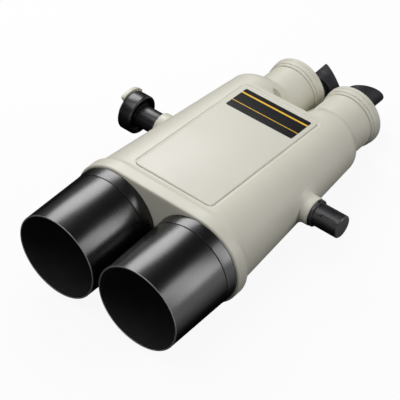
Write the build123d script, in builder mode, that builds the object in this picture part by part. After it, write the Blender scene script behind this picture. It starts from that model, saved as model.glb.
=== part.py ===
from build123d import *
import os
from math import acos, cos, pi, radians, sin, tan

# Driving dimensions, in millimetres and degrees.
# The trunnion axis passes over the origin. The objectives point to -Y, the eyepieces to +Y,
# and +X is the user's left. The base of the skids is at z = 0.

# Fits
running_clearance = 0.04
seat_clearance = 0.05
end_play = 0.05
cover_clearance = 0.3
cell_setback = 0.02

# Objectives and hoods
clear_aperture = 120.0
lens_lip = 4.0
cell_wall = 6.0
cell_shoulder = 7.4
cell_tube_wall = 4.0
flint_edge = 8.0
crown_edge = 6.0
flint_rim = 2.0
crown_front_sag = 7.0
crown_rear_sag = 5.0
flint_rear_sag = 2.0
lens_air_gap = 0.1
retainer_thickness = 5.0
retainer_width = 5.0
baffle_flange = 6.0
baffle_flange_thickness = 3.0
baffle_wall = 1.5
baffle_gap = 20.0
baffle_end_radius = 28.0
hood_seat_step = 2.0
hood_seat_length = 26.0
hood_socket_relief = 0.5
hood_root_wall = 4.0
hood_rim_wall = 3.0
hood_taper = 2.0
hood_length = 116.3
hood_lip = 3.0
hood_lip_step = 0.6
rim_round = 0.8
ring_flare = 1.4
ring_length = 21.4
ring_groove = 0.6
hood_gap = 3.8

# Cast housing
axis_height = 84.0
front_reach = 200.6
rear_reach = 131.0
collar_lip = 3.6
collar_length = 19.6
collar_round = 3.0
blend_length = 12.0
shoulder_step = 6.5
shoulder_inset = 0.9
shell_front_rise = 3.2
shell_rear_radius = 59.8
shell_rear_rise = 2.5
shell_rear_shoulder = 14.2
shell_wall = 5.0
front_wall = 16.6
rear_wall = 9.0
rear_bevel = 3.0
haunch_length = 26.0
neck_length = 28.0
haunch_ease = 8.0
web_width = 60.0
web_height = 44.0
web_drop = 12.0
skid_width = 26.0
skid_spacing = 96.0
skid_front = 160.0
skid_rear = 120.0
skid_round = 4.0
bridge_length = 60.0

# Top cover and plate
cover_front = 165.6
cover_rear = 117.0
cover_width = 148.0
cover_corner = 7.0
cover_thickness = 2.8
cover_rebate = 2.0
cover_edge_round = 0.9
seal_thickness = 0.6
cover_side_ledge = 18.0
cover_end_ledge = 9.0
cover_screw_inset = 5.0
cover_screw_radius = 2.0
cover_screw_length = 4.6
screw_head_radius = 3.8
screw_head_depth = 1.6
screw_head_slope = 45.0
tongue_width = 40.0
tongue_reach = 5.0
tongue_thickness = 2.0
plate_front = 51.8
plate_rear = 107.8
plate_side_inset = 8.2
plate_corner = 2.5
plate_thickness = 0.8

# Turrets
turret_gap = 5.6
turret_drop = 12.9
barrel_radius = 50.4
barrel_length = 48.6
spigot_radius = 35.0
nose_radius = 31.0
light_bore = 27.0
turret_base_radius = 52.5
turret_base_length = 6.0
turret_floor = 3.0
cap_radius = 55.0
cap_step = 1.2
cap_step_length = 8.0
cap_round = 4.5
cap_wall = 5.0
drum_length = 24.8
nut_length = 7.0
nut_rim = 4.5

# Gear sectors between the turrets
gear_teeth = 82
gear_thickness = 8.0
gear_hub_rim = 5.0
gear_rim = 5.0
gear_addendum = 0.9
gear_dedendum = 1.25
gear_backlash = 0.2
pressure_angle = 20.0
sector_teeth = 9

# Prisms
prism_gap = 0.5
prism_plate_thickness = 6.0
prism_plate_gap = 4.0
prism_plate_height = 72.0
prism_plate_corner = 9.0
prism_hole_margin = 1.0
pillar_spacing = 204.0
pillar_rise = 28.0
pillar_radius = 7.0
pillar_screw_radius = 2.5
pillar_screw_head = 4.5
pillar_screw_head_length = 4.0
pillar_screw_length = 18.0
apex_flat = 3.0
strap_thickness = 3.0
strap_leg = 5.0
strap_height = 12.0
strap_lift = 4.0
strap_side_gap = 1.0
rhomboid_width = 18.0
pocket_depth = 1.0

# Eyepieces
eyepiece_offset = 27.0
eyepiece_swing = 26.0
mount_thread_radius = 19.0
mount_flange_radius = 22.0
mount_flange = 4.0
mount_tube = 15.0
mount_tube_wall = 3.0
mount_relief = 0.5
focus_ring_radius = 22.5
focus_ring_length = 14.0
focus_flutes = 24
focus_flute_radius = 1.2
barrel_tube_radius = 16.0
barrel_tube_wall = 2.5
barrel_head_radius = 19.0
barrel_head_length = 21.0
focus_travel = 3.0
focus_room = 1.0
field_lens_thickness = 6.0
field_lens_sag = 1.5
field_lens_lip = 1.2
field_lens_recess = 1.6
eye_lens_thickness = 5.0
eye_lens_sag = 1.2
eye_lens_lip = 1.5
eye_ring_thickness = 2.5
eye_ring_width = 2.0
eye_ring_recess = 2.0
cup_wall = 2.6
cup_root_radius = 26.5
cup_nose = 49.8
cup_flare_radius = 27.3
cup_flare_setback = 3.0
cup_wing_radius = 28.2
cup_wing_rise = 43.5
cup_wing_drop = 36.0
cup_trim = 3.0
cup_grip_front = 2.0

# Trunnions and clamp
trunnion_rise = 2.0
boss_radius = 24.0
boss_height = 16.0
boss_root = 7.0
boss_sink = 9.0
boss_depth = 34.0
trunnion_spigot_radius = 14.0
trunnion_spigot_length = 29.0
trunnion_flange_radius = 23.0
trunnion_flange = 6.0
journal_radius = 19.5
left_journal = 46.0
right_journal = 40.0
journal_chamfer = 1.5
keyway_width = 5.0
keyway_depth = 2.5
keyway_length = 26.0
keyway_end = 8.0
keyway_angle = 47.0
stud_radius = 8.0
stud_depth = 24.0
stud_nut_radius = 12.0
stud_nut_thickness = 4.0
knob_radius = 34.5
knob_length = 26.0
knob_round = 3.0
knob_hub_radius = 22.0
knob_lip_radius = 30.0
knob_dish = 8.0
knob_cap_radius = 24.0
knob_cap_thickness = 6.5
knob_cap_round = 1.5
knob_tab_radius = 38.0
knob_tab_start = 35.0
knob_tab_sweep = 85.0
knob_tab_corner = 3.0
nut_recess_margin = 1.5

# Derived radii of the objective end, worked outwards from the clear aperture.
lens_radius = clear_aperture / 2 + lens_lip
cell_spigot_radius = lens_radius + cell_wall
hood_seat_radius = cell_spigot_radius + hood_seat_step
hood_root_radius = hood_seat_radius + hood_root_wall
hood_rim_radius = hood_root_radius - hood_taper
ring_radius = hood_root_radius + ring_flare
collar_radius = ring_radius + collar_lip
objective_half = ring_radius + hood_gap / 2

# Derived stations along Y.
front_face = -front_reach
hood_seat = front_face - ring_length
hood_rim = hood_seat - hood_length
cavity_front = front_face + front_wall
cell_end = cavity_front - cell_setback
lens_seat = cell_end - cell_shoulder
crown_seat = lens_seat - flint_edge
retainer_seat = crown_seat - crown_edge
retainer_front = retainer_seat - retainer_thickness
cavity_rear = rear_reach - rear_wall
haunch_end = rear_reach + haunch_length
neck_end = haunch_end + neck_length
barrel_end = neck_end + barrel_length
drum_front = barrel_end + end_play
drum_end = drum_front + drum_length
gear_rear = cavity_rear - end_play
gear_front = gear_rear - gear_thickness
nut_front = gear_front - nut_length
prism_plate_rear = nut_front - prism_plate_gap
prism_seat = prism_plate_rear - prism_plate_thickness

# Derived places of the turret and eyepiece axes.
turret_half = cap_radius + turret_gap / 2
turret_height = axis_height - turret_drop
trunnion_height = axis_height + trunnion_rise
eyepiece_half = turret_half - eyepiece_offset * cos(radians(eyepiece_swing))
eyepiece_height = turret_height - eyepiece_offset * sin(radians(eyepiece_swing))

# Derived size of the erecting prisms, which carry the light from one axis to the other.
prism_shift = objective_half - turret_half
prism_width = prism_shift - prism_gap
prism_front = prism_seat - prism_width

# The shell tapers evenly from its front section to its rear section.
shell_front = front_face + collar_length + blend_length
shell_front_radius = collar_radius - shoulder_step
shell_front_half = objective_half - shoulder_inset
shell_rear_half = turret_half + shell_rear_shoulder


def along_shell(y, front, rear):
    """Value at station y of a size that runs evenly from the shell's front to its rear."""
    return front + (rear - front) * (y - shell_front) / (rear_reach - shell_front)


shell_top_front = axis_height + shell_front_rise + shell_front_radius
shell_top_rear = axis_height + shell_rear_rise + shell_rear_radius
top_slope = (shell_top_front - shell_top_rear) / (rear_reach - shell_front)
shell_side = (
    along_shell(0, shell_front_half, shell_rear_half)
    + along_shell(0, shell_front_radius, shell_rear_radius)
)
boss_face = shell_side + boss_height
top_plane = Plane(
    origin=(0, 0, along_shell(0, shell_top_front, shell_top_rear)),
    x_dir=(1, 0, 0),
    z_dir=(0, top_slope, 1),
)

sides = (("left", 1), ("right", -1))


def across(y, x=0.0, z=axis_height):
    """Plane square to Y at station y, with local x along +X and local y along +Z."""
    return Plane(origin=(x, y, z), x_dir=(1, 0, 0), z_dir=(0, -1, 0))


def lengthwise(x, z):
    """Plane for turning about a Y axis, with local x along +Y and local y along +Z."""
    return Plane(origin=(x, 0, z), x_dir=(0, 1, 0), z_dir=(1, 0, 0))


def crosswise(side):
    """Plane for turning about the trunnion axis, with local x pointing outwards on that side."""
    return Plane(origin=(0, 0, trunnion_height), x_dir=(side, 0, 0), z_dir=(0, -side, 0))


def axis_of(plane):
    """Axis along the plane's local x."""
    return Axis(plane.origin, plane.x_dir)


def keep(piece, label):
    """Label a finished piece and write it under that name."""
    piece.part.label = label
    export_step(piece.part, f"parts/{label}.step")


def turned(plane, *points):
    """Closed outline of (station, radius) points turned about the plane's local x."""
    with BuildPart() as piece:
        with BuildSketch(plane):
            with BuildLine():
                Polyline(*points, close=True)
            make_face()
        revolve(axis=axis_of(plane))
    return piece


def sleeve(plane, start, end, outer, inner):
    """Plain ring between two stations."""
    return turned(plane, (start, inner), (end, inner), (end, outer), (start, outer))


def shell_section(y, half, radius, rise):
    """Round-ended section of the housing at station y."""
    with BuildSketch(across(y, z=axis_height + rise)) as section:
        SlotCenterToCenter(2 * half, 2 * radius)
    return section.sketch


def tapered_section(y, wall):
    """Section of the tapering shell at station y, drawn in by a wall."""
    return shell_section(
        y,
        along_shell(y, shell_front_half, shell_rear_half),
        along_shell(y, shell_front_radius, shell_rear_radius) - wall,
        along_shell(y, shell_front_rise, shell_rear_rise),
    )


def barrel_section(side, y):
    """Round section of one side behind the shell, drawn from the shell's side to the barrel."""
    drawn = min(max((y - haunch_end) / neck_length, 0), 1)
    half = along_shell(y, shell_front_half, shell_rear_half)
    rise = along_shell(y, shell_front_rise, shell_rear_rise)
    radius = along_shell(y, shell_front_radius, shell_rear_radius)
    x = half + (turret_half - half) * drawn
    z = axis_height + rise + (turret_height - axis_height - rise) * drawn
    with BuildSketch(across(y, side * x, z)) as section:
        Circle(radius + (barrel_radius - radius) * drawn)
    return section.sketch


os.makedirs("parts", exist_ok=True)


# Cast housing: collar, tapering shell, skids, rear barrels, trunnion bosses and inner pillars.
collar_end = front_face + collar_length
cover_middle = (cover_rear - cover_front) / 2
cover_length = cover_rear + cover_front
opening_width = cover_width - 2 * cover_side_ledge
opening_length = cover_length - 2 * cover_end_ledge
cover_cut = 2 * shell_wall
boss_end = boss_face - boss_depth
boss_foot = shell_side - boss_sink
pillar_places = [
    (x * pillar_spacing / 2, z * pillar_rise) for x in (-1, 1) for z in (-1, 1)
]
plate_width = cover_width - 2 * plate_side_inset
cover_screw_x = opening_width / 2 + cover_screw_inset
cover_screw_y = (plate_front + plate_rear) / 2
cover_screw_step = (plate_rear - plate_front) / 4
cover_screw_places = [
    (x * cover_screw_x, cover_screw_y + y * cover_screw_step) for x in (-1, 1) for y in (-1, 1)
]

haunch_stations = (
    cavity_rear,
    haunch_end - haunch_ease,
    haunch_end + haunch_ease,
    neck_end,
    barrel_end,
)
with BuildPart() as main_housing:
    outer_sections = (
        shell_section(front_face, objective_half, collar_radius, 0),
        shell_section(collar_end, objective_half, collar_radius, 0),
        tapered_section(shell_front, 0),
        tapered_section(rear_reach - rear_bevel, 0),
        tapered_section(rear_reach, rear_bevel),
    )
    loft(outer_sections, ruled=True)
    fillet(main_housing.faces().sort_by(Axis.Y)[0].edges(), collar_round)
    with BuildSketch(across(neck_end, z=turret_height - web_drop)):
        Rectangle(web_width, web_height)
    extrude(amount=neck_end - cavity_rear)
    with BuildSketch(Plane.XY):
        Rectangle(skid_spacing, bridge_length)
    extrude(amount=axis_height)
    for name, side in sides:
        with BuildSketch(Plane.XY):
            with Locations((side * skid_spacing / 2, (skid_rear - skid_front) / 2)):
                RectangleRounded(skid_width, skid_rear + skid_front, skid_round)
        extrude(amount=axis_height)
        loft([barrel_section(side, y) for y in haunch_stations], ruled=True)
        trunnion_axis = crosswise(side)
        with BuildSketch(trunnion_axis):
            with BuildLine():
                Polyline(
                    (boss_end, 0),
                    (boss_end, boss_radius + boss_root),
                    (boss_foot, boss_radius + boss_root),
                )
                RadiusArc(
                    (boss_foot, boss_radius + boss_root),
                    (boss_foot + boss_root, boss_radius),
                    -boss_root,
                )
                Polyline(
                    (boss_foot + boss_root, boss_radius),
                    (boss_face, boss_radius),
                    (boss_face, 0),
                    (boss_end, 0),
                )
            make_face()
        revolve(axis=axis_of(trunnion_axis))
    cavity_sections = (
        tapered_section(cavity_front, shell_wall),
        tapered_section(cavity_rear, shell_wall),
    )
    loft(cavity_sections, ruled=True, mode=Mode.SUBTRACT)
    for name, side in sides:
        with BuildSketch(Plane.YZ.offset(side * boss_end)):
            with Locations((0, trunnion_height)):
                Circle(boss_radius)
        extrude(amount=side * boss_depth)
        with BuildSketch(Plane.YZ.offset(side * boss_face)):
            with Locations((0, trunnion_height)):
                Circle(trunnion_spigot_radius + seat_clearance)
        extrude(amount=-side * trunnion_spigot_length, mode=Mode.SUBTRACT)
        with BuildSketch(across(front_face, side * objective_half)):
            Circle(cell_spigot_radius + seat_clearance)
        extrude(amount=-front_wall, mode=Mode.SUBTRACT)
        with BuildSketch(across(barrel_end, side * turret_half, turret_height)):
            Circle(spigot_radius + running_clearance)
        extrude(amount=barrel_end - cavity_rear, mode=Mode.SUBTRACT)
    with BuildSketch(across(cavity_rear)):
        with Locations(*pillar_places):
            Circle(pillar_radius)
    extrude(amount=cavity_rear - prism_plate_rear)
    with BuildSketch(across(prism_plate_rear)):
        with Locations(*pillar_places):
            Circle(pillar_screw_radius + seat_clearance)
    extrude(amount=-pillar_screw_length, mode=Mode.SUBTRACT)
    with BuildSketch(top_plane.offset(-cover_rebate)):
        with Locations((0, cover_middle)):
            RectangleRounded(
                cover_width + 2 * cover_clearance,
                cover_length + 2 * cover_clearance,
                cover_corner + cover_clearance,
            )
    extrude(amount=cover_cut, mode=Mode.SUBTRACT)
    with BuildSketch(top_plane):
        with Locations((0, cover_middle)):
            RectangleRounded(opening_width, opening_length, cover_corner)
    extrude(amount=-cover_cut, mode=Mode.SUBTRACT)
    with BuildSketch(top_plane):
        with Locations(*cover_screw_places):
            Circle(cover_screw_radius + seat_clearance)
    extrude(amount=-cover_cut, mode=Mode.SUBTRACT)
keep(main_housing, "main_housing")


def lens(plane, front_rim, rear_rim, radius, front_sag, rear_sag, front_flat, rear_flat):
    """Lens between two rim stations, with flat rims and round faces that bulge by their sags."""
    with BuildPart() as glass:
        with BuildSketch(plane):
            with BuildLine():
                TangentArc((front_rim - front_sag, 0), (front_rim, radius - front_flat), tangent=(0, 1))
                Polyline(
                    (front_rim, radius - front_flat),
                    (front_rim, radius),
                    (rear_rim, radius),
                    (rear_rim, radius - rear_flat),
                )
                TangentArc((rear_rim + rear_sag, 0), (rear_rim, radius - rear_flat), tangent=(0, 1))
                Line((rear_rim + rear_sag, 0), (front_rim - front_sag, 0))
            make_face()
        revolve(axis=axis_of(plane))
    return glass


# Objective end of each side: cell, lenses, retainer, baffle and hood.
seat_bore = hood_seat_radius - cell_tube_wall
seat_front = hood_seat - hood_seat_length
lens_bore = lens_radius + seat_clearance
aperture_radius = clear_aperture / 2
hood_bore = hood_rim_radius - hood_rim_wall
hood_socket = hood_seat_radius + running_clearance
baffle_end = prism_front - baffle_gap

for name, side in sides:
    objective_axis = lengthwise(side * objective_half, axis_height)

    objective_cell = turned(
        objective_axis,
        (seat_front, seat_bore),
        (seat_front, hood_seat_radius),
        (hood_seat, hood_seat_radius),
        (hood_seat, hood_root_radius - ring_groove),
        (hood_seat + ring_groove, hood_root_radius),
        (front_face, ring_radius),
        (front_face, cell_spigot_radius),
        (cell_end, cell_spigot_radius),
        (cell_end, aperture_radius),
        (lens_seat, aperture_radius),
        (lens_seat, lens_bore),
        (retainer_front, lens_bore),
        (retainer_front, seat_bore),
    )
    keep(objective_cell, f"objective_cell_{name}")

    flint_lens = lens(
        objective_axis,
        crown_seat,
        lens_seat,
        lens_radius,
        -crown_rear_sag - lens_air_gap,
        flint_rear_sag,
        flint_rim,
        lens_lip,
    )
    keep(flint_lens, f"flint_lens_{name}")

    crown_lens = lens(
        objective_axis,
        retainer_seat,
        crown_seat,
        lens_radius,
        crown_front_sag,
        crown_rear_sag,
        retainer_width,
        flint_rim,
    )
    keep(crown_lens, f"crown_lens_{name}")

    lens_retainer = sleeve(
        objective_axis, retainer_front, retainer_seat, lens_radius, lens_radius - retainer_width
    )
    keep(lens_retainer, f"lens_retainer_{name}")

    baffle_tube = turned(
        objective_axis,
        (cell_end, aperture_radius),
        (cell_end, aperture_radius + baffle_flange),
        (cell_end + baffle_flange_thickness, aperture_radius + baffle_flange),
        (cell_end + baffle_flange_thickness, aperture_radius + baffle_wall),
        (baffle_end, baffle_end_radius + baffle_wall),
        (baffle_end, baffle_end_radius),
    )
    keep(baffle_tube, f"baffle_tube_{name}")

    with BuildPart() as lens_hood:
        with BuildSketch(objective_axis):
            with BuildLine():
                Polyline(
                    (hood_rim, hood_bore + hood_lip_step),
                    (hood_rim, hood_rim_radius),
                    (hood_seat - ring_groove, hood_root_radius),
                    (hood_seat, hood_root_radius - ring_groove),
                    (hood_seat, hood_socket),
                    (seat_front - hood_socket_relief, hood_socket),
                    (seat_front - hood_socket_relief, hood_bore),
                    (hood_rim + hood_lip, hood_bore),
                    (hood_rim + hood_lip, hood_bore + hood_lip_step),
                    close=True,
                )
            make_face()
        revolve(axis=axis_of(objective_axis))
        fillet(lens_hood.edges().group_by(Axis.Y)[0], rim_round)
    keep(lens_hood, f"lens_hood_{name}")


# Top cover with its seal, hidden screws and plate.
seal_plane = top_plane.offset(-cover_rebate)
cover_plane = seal_plane.offset(seal_thickness)
cover_top_plane = cover_plane.offset(cover_thickness)
ledge_under = top_plane.offset(-shell_wall - cover_clearance)
opening_front = cover_middle - opening_length / 2
neck_middle = opening_front + cover_clearance + tongue_thickness / 2
hook_front = opening_front - tongue_reach
hook_rear = neck_middle + tongue_thickness / 2
hook_drop = shell_wall + cover_clearance + tongue_thickness - cover_rebate + seal_thickness

with BuildPart() as top_cover:
    with BuildSketch(cover_plane):
        with Locations((0, cover_middle)):
            RectangleRounded(cover_width, cover_length, cover_corner)
    extrude(amount=cover_thickness)
    fillet(top_cover.faces().sort_by(Axis.Z)[-1].edges(), cover_edge_round)
    with BuildSketch(cover_plane):
        with Locations((0, neck_middle)):
            Rectangle(tongue_width, tongue_thickness)
    extrude(amount=-hook_drop)
    with BuildSketch(ledge_under):
        with Locations((0, (hook_front + hook_rear) / 2)):
            Rectangle(tongue_width, hook_rear - hook_front)
    extrude(amount=-tongue_thickness)
    with BuildSketch(cover_top_plane):
        with Locations(*cover_screw_places):
            Circle(screw_head_radius + seat_clearance)
    extrude(amount=-screw_head_depth, taper=screw_head_slope, mode=Mode.SUBTRACT)
    with BuildSketch(cover_top_plane):
        with Locations(*cover_screw_places):
            Circle(cover_screw_radius + seat_clearance)
    extrude(amount=-cover_thickness, mode=Mode.SUBTRACT)
keep(top_cover, "top_cover")

with BuildPart() as cover_seal:
    with BuildSketch(seal_plane):
        with Locations((0, cover_middle)):
            RectangleRounded(cover_width, cover_length, cover_corner)
            RectangleRounded(opening_width, opening_length, cover_corner, mode=Mode.SUBTRACT)
        with Locations(*cover_screw_places):
            Circle(cover_screw_radius + seat_clearance, mode=Mode.SUBTRACT)
    extrude(amount=seal_thickness)
keep(cover_seal, "cover_seal")

with BuildPart() as cover_screws:
    with BuildSketch(cover_top_plane):
        with Locations(*cover_screw_places):
            Circle(screw_head_radius)
    extrude(amount=-screw_head_depth, taper=screw_head_slope)
    with BuildSketch(cover_top_plane.offset(-screw_head_depth)):
        with Locations(*cover_screw_places):
            Circle(cover_screw_radius)
    extrude(amount=-cover_screw_length)
keep(cover_screws, "cover_screws")

with BuildPart() as nameplate:
    with BuildSketch(cover_top_plane):
        with Locations((0, (plate_front + plate_rear) / 2)):
            RectangleRounded(plate_width, plate_rear - plate_front, plate_corner)
    extrude(amount=plate_thickness)
keep(nameplate, "nameplate")


# Erecting prisms on their bulkhead. The light goes up from the entry prism, over to the turret
# axis in the turning prism, and back through the exit prism into the turret.
turning_middle = (objective_half + turret_half) / 2
turning_height = axis_height + prism_width / 2
leg_inner = prism_shift + strap_side_gap
leg_outer = leg_inner + strap_leg
strap_middle = turning_height + strap_lift + strap_height / 2

with BuildPart() as prism_plate:
    with BuildSketch(across(prism_plate_rear)):
        RectangleRounded(
            pillar_spacing + 2 * prism_plate_corner, prism_plate_height, prism_plate_corner
        )
        with Locations((turret_half, -turret_drop), (-turret_half, -turret_drop)):
            Circle(prism_width / 2 - prism_hole_margin, mode=Mode.SUBTRACT)
        with Locations(*pillar_places):
            Circle(pillar_screw_radius + seat_clearance, mode=Mode.SUBTRACT)
    extrude(amount=prism_plate_thickness)
keep(prism_plate, "prism_plate")

with BuildPart() as prism_plate_screws:
    with BuildSketch(across(prism_seat)):
        with Locations(*pillar_places):
            Circle(pillar_screw_head)
    extrude(amount=pillar_screw_head_length)
    with BuildSketch(across(prism_seat)):
        with Locations(*pillar_places):
            Circle(pillar_screw_radius)
    extrude(amount=-pillar_screw_length)
keep(prism_plate_screws, "prism_plate_screws")

for name, side in sides:
    with BuildPart() as entry_prism:
        with BuildSketch(lengthwise(side * objective_half, axis_height)):
            with BuildLine():
                Polyline(
                    (prism_front, -prism_width / 2),
                    (prism_front, prism_width / 2),
                    (prism_seat, prism_width / 2),
                    close=True,
                )
            make_face()
        extrude(amount=prism_width / 2, both=True)
    keep(entry_prism, f"entry_prism_{name}")

    with BuildPart() as turning_prism:
        with BuildSketch(across(prism_seat, side * turning_middle, turning_height)):
            with BuildLine():
                Polyline(
                    (-prism_shift, 0),
                    (prism_shift, 0),
                    (apex_flat / 2, prism_shift - apex_flat / 2),
                    (-apex_flat / 2, prism_shift - apex_flat / 2),
                    close=True,
                )
            make_face()
        extrude(amount=prism_width)
    keep(turning_prism, f"turning_prism_{name}")

    with BuildPart() as exit_prism:
        with BuildSketch(lengthwise(side * turret_half, turret_height)):
            with BuildLine():
                Polyline(
                    (prism_seat, -prism_width / 2),
                    (prism_seat, prism_width / 2),
                    (prism_front, prism_width / 2),
                    close=True,
                )
            make_face()
        extrude(amount=prism_width / 2, both=True)
    keep(exit_prism, f"exit_prism_{name}")

    with BuildPart() as prism_strap:
        with BuildSketch(across(prism_front, side * turning_middle, strap_middle)):
            Rectangle(2 * leg_outer, strap_height)
        extrude(amount=strap_thickness)
        with BuildSketch(across(prism_seat, side * turning_middle, strap_middle)):
            with Locations(
                ((leg_inner + leg_outer) / 2, 0), (-(leg_inner + leg_outer) / 2, 0)
            ):
                Rectangle(strap_leg, strap_height)
        extrude(amount=prism_width)
    keep(prism_strap, f"prism_strap_{name}")


# Gear teeth of the sectors that turn the two turrets together.
pitch_radius = turret_half
gear_module = 2 * pitch_radius / gear_teeth
base_radius = pitch_radius * cos(radians(pressure_angle))
root_radius = pitch_radius - gear_dedendum * gear_module
tip_radius = pitch_radius + gear_addendum * gear_module
flank_radii = (
    root_radius - gear_module / 2,
    root_radius,
    (root_radius + pitch_radius) / 2,
    pitch_radius,
    tip_radius,
)


def involute(radius):
    """Involute angle, in radians, of a flank point at this radius."""
    flank = acos(base_radius / radius)
    return tan(flank) - flank


def half_tooth(radius):
    """Half the angle, in radians, that a tooth fills at this radius."""
    at_pitch = pi / (2 * gear_teeth) - gear_backlash / (4 * pitch_radius)
    return at_pitch + involute(pitch_radius) - involute(max(radius, root_radius))


def polar(radius, angle):
    """Point at a radius and an angle in radians."""
    return (radius * cos(angle), radius * sin(angle))


# Turrets: base, gear, nut, rhomboid prism and cap.
drum_floor = drum_front + turret_floor
prism_floor = drum_floor - pocket_depth
cap_inner = prism_floor + rhomboid_width
cap_front = drum_front + turret_base_length
cap_bore = cap_radius - cap_wall
recess_radius = turret_base_radius - cap_wall
light_port = rhomboid_width / 2 - prism_hole_margin
prism_half = rhomboid_width / 2
tooth_pitch = 2 * pi / gear_teeth
pocket_start = -prism_half - seat_clearance
pocket_end = eyepiece_offset - prism_half + pocket_depth + seat_clearance

for name, side in sides:
    turret_axis = lengthwise(side * turret_half, turret_height)
    swing = radians(eyepiece_swing)
    reach = Vector(-side * cos(swing), 0, -sin(swing))
    rhomboid_plane = Plane(
        origin=(side * turret_half, prism_floor, turret_height),
        x_dir=reach,
        z_dir=(-reach.Z, 0, reach.X),
    )
    pocket_plane = Plane(
        origin=(side * turret_half, prism_floor, turret_height), x_dir=reach, z_dir=(0, 1, 0)
    )

    with BuildPart() as turret_base:
        with BuildSketch(turret_axis):
            with BuildLine():
                Polyline(
                    (nut_front, light_bore),
                    (nut_front, nose_radius),
                    (gear_rear, nose_radius),
                    (gear_rear, spigot_radius),
                    (drum_front, spigot_radius),
                    (drum_front, turret_base_radius),
                    (cap_front, turret_base_radius),
                    (cap_front, recess_radius),
                    (drum_floor, recess_radius),
                    (drum_floor, light_port),
                    (drum_front, light_port),
                    (drum_front, light_bore),
                    close=True,
                )
            make_face()
        revolve(axis=axis_of(turret_axis))
        with BuildSketch(pocket_plane):
            with Locations(((pocket_start + pocket_end) / 2, 0)):
                Rectangle(pocket_end - pocket_start, 2 * (prism_half + seat_clearance))
        extrude(amount=pocket_depth, mode=Mode.SUBTRACT)
    keep(turret_base, f"turret_base_{name}")

    inward = pi if side > 0 else 0.0
    tooth_count = sector_teeth if side > 0 else sector_teeth + 1
    tooth_angles = [
        inward + (index - (tooth_count - 1) / 2) * tooth_pitch for index in range(tooth_count)
    ]
    sector_half = tooth_count * tooth_pitch / 2
    with BuildPart() as ipd_gear:
        with BuildSketch(across(gear_rear, side * turret_half, turret_height)):
            with BuildLine():
                Line((0, 0), polar(root_radius, inward - sector_half))
                ThreePointArc(
                    polar(root_radius, inward - sector_half),
                    polar(root_radius, inward),
                    polar(root_radius, inward + sector_half),
                )
                Line(polar(root_radius, inward + sector_half), (0, 0))
            make_face()
            for angle in tooth_angles:
                with BuildLine():
                    Polyline(
                        *[polar(radius, angle - half_tooth(radius)) for radius in flank_radii],
                        *[polar(radius, angle + half_tooth(radius)) for radius in flank_radii[::-1]],
                        close=True,
                    )
                make_face()
            Circle(nose_radius + gear_hub_rim)
            Circle(nose_radius + seat_clearance, mode=Mode.SUBTRACT)
        extrude(amount=gear_thickness)
    keep(ipd_gear, f"ipd_gear_{name}")

    turret_nut = sleeve(
        turret_axis, nut_front, gear_front, nose_radius + nut_rim, nose_radius + seat_clearance
    )
    keep(turret_nut, f"turret_nut_{name}")

    with BuildPart() as rhomboid_prism:
        with BuildSketch(rhomboid_plane):
            with BuildLine():
                Polyline(
                    (-prism_half, 0),
                    (prism_half, rhomboid_width),
                    (eyepiece_offset + prism_half, rhomboid_width),
                    (eyepiece_offset - prism_half, 0),
                    close=True,
                )
            make_face()
        extrude(amount=prism_half, both=True)
    keep(rhomboid_prism, f"rhomboid_prism_{name}")

    with BuildPart() as turret_cap:
        with BuildSketch(turret_axis):
            with BuildLine():
                Polyline(
                    (cap_front, cap_bore),
                    (cap_front, cap_radius - cap_step),
                    (cap_front + cap_step_length, cap_radius - cap_step),
                    (cap_front + cap_step_length + cap_step, cap_radius),
                    (drum_end - cap_round, cap_radius),
                )
                RadiusArc(
                    (drum_end - cap_round, cap_radius), (drum_end, cap_radius - cap_round), cap_round
                )
                Polyline(
                    (drum_end, cap_radius - cap_round),
                    (drum_end, 0),
                    (cap_inner, 0),
                    (cap_inner, cap_bore),
                    (cap_front, cap_bore),
                )
            make_face()
        revolve(axis=axis_of(turret_axis))
        with BuildSketch(across(drum_end, side * eyepiece_half, eyepiece_height)):
            Circle(mount_thread_radius + seat_clearance)
        extrude(amount=drum_end - cap_inner, mode=Mode.SUBTRACT)
    keep(turret_cap, f"turret_cap_{name}")


# Eyepieces: mount, focus ring, sliding barrel with its lenses, and winged cup.
mount_tube_radius = barrel_tube_radius + mount_tube_wall
mount_bore = barrel_tube_radius + running_clearance
mount_front = cap_inner + mount_relief
flange_end = drum_end + mount_flange
mount_end = flange_end + mount_tube
ring_front = flange_end + end_play
ring_end = ring_front + focus_ring_length
barrel_front = mount_front + focus_travel
head_front = mount_end + focus_travel + focus_room
head_end = head_front + barrel_head_length
tube_bore = barrel_tube_radius - barrel_tube_wall
field_lens_radius = tube_bore + field_lens_lip
field_seat = barrel_front + field_lens_recess + field_lens_thickness
eye_lens_radius = tube_bore + eye_lens_lip
eye_ring_rear = head_end - eye_ring_recess
eye_lens_rear = eye_ring_rear - eye_ring_thickness
eye_seat = eye_lens_rear - eye_lens_thickness
cup_front = head_front + cup_grip_front
nose_rim = drum_end + cup_nose
wing_rim = nose_rim + cup_wing_rise
flare_front = nose_rim - cup_flare_setback
flare_rise = (cup_wing_radius - cup_flare_radius) / (wing_rim - flare_front)
cup_nose_radius = cup_flare_radius + flare_rise * cup_flare_setback
blank_end = wing_rim + cup_trim
blank_radius = cup_wing_radius + flare_rise * cup_trim
cup_inner = cup_flare_radius - cup_wall
wing_out = cos(radians(cup_wing_drop))
wing_down = sin(radians(cup_wing_drop))
cup_bore = barrel_head_radius + running_clearance

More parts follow.
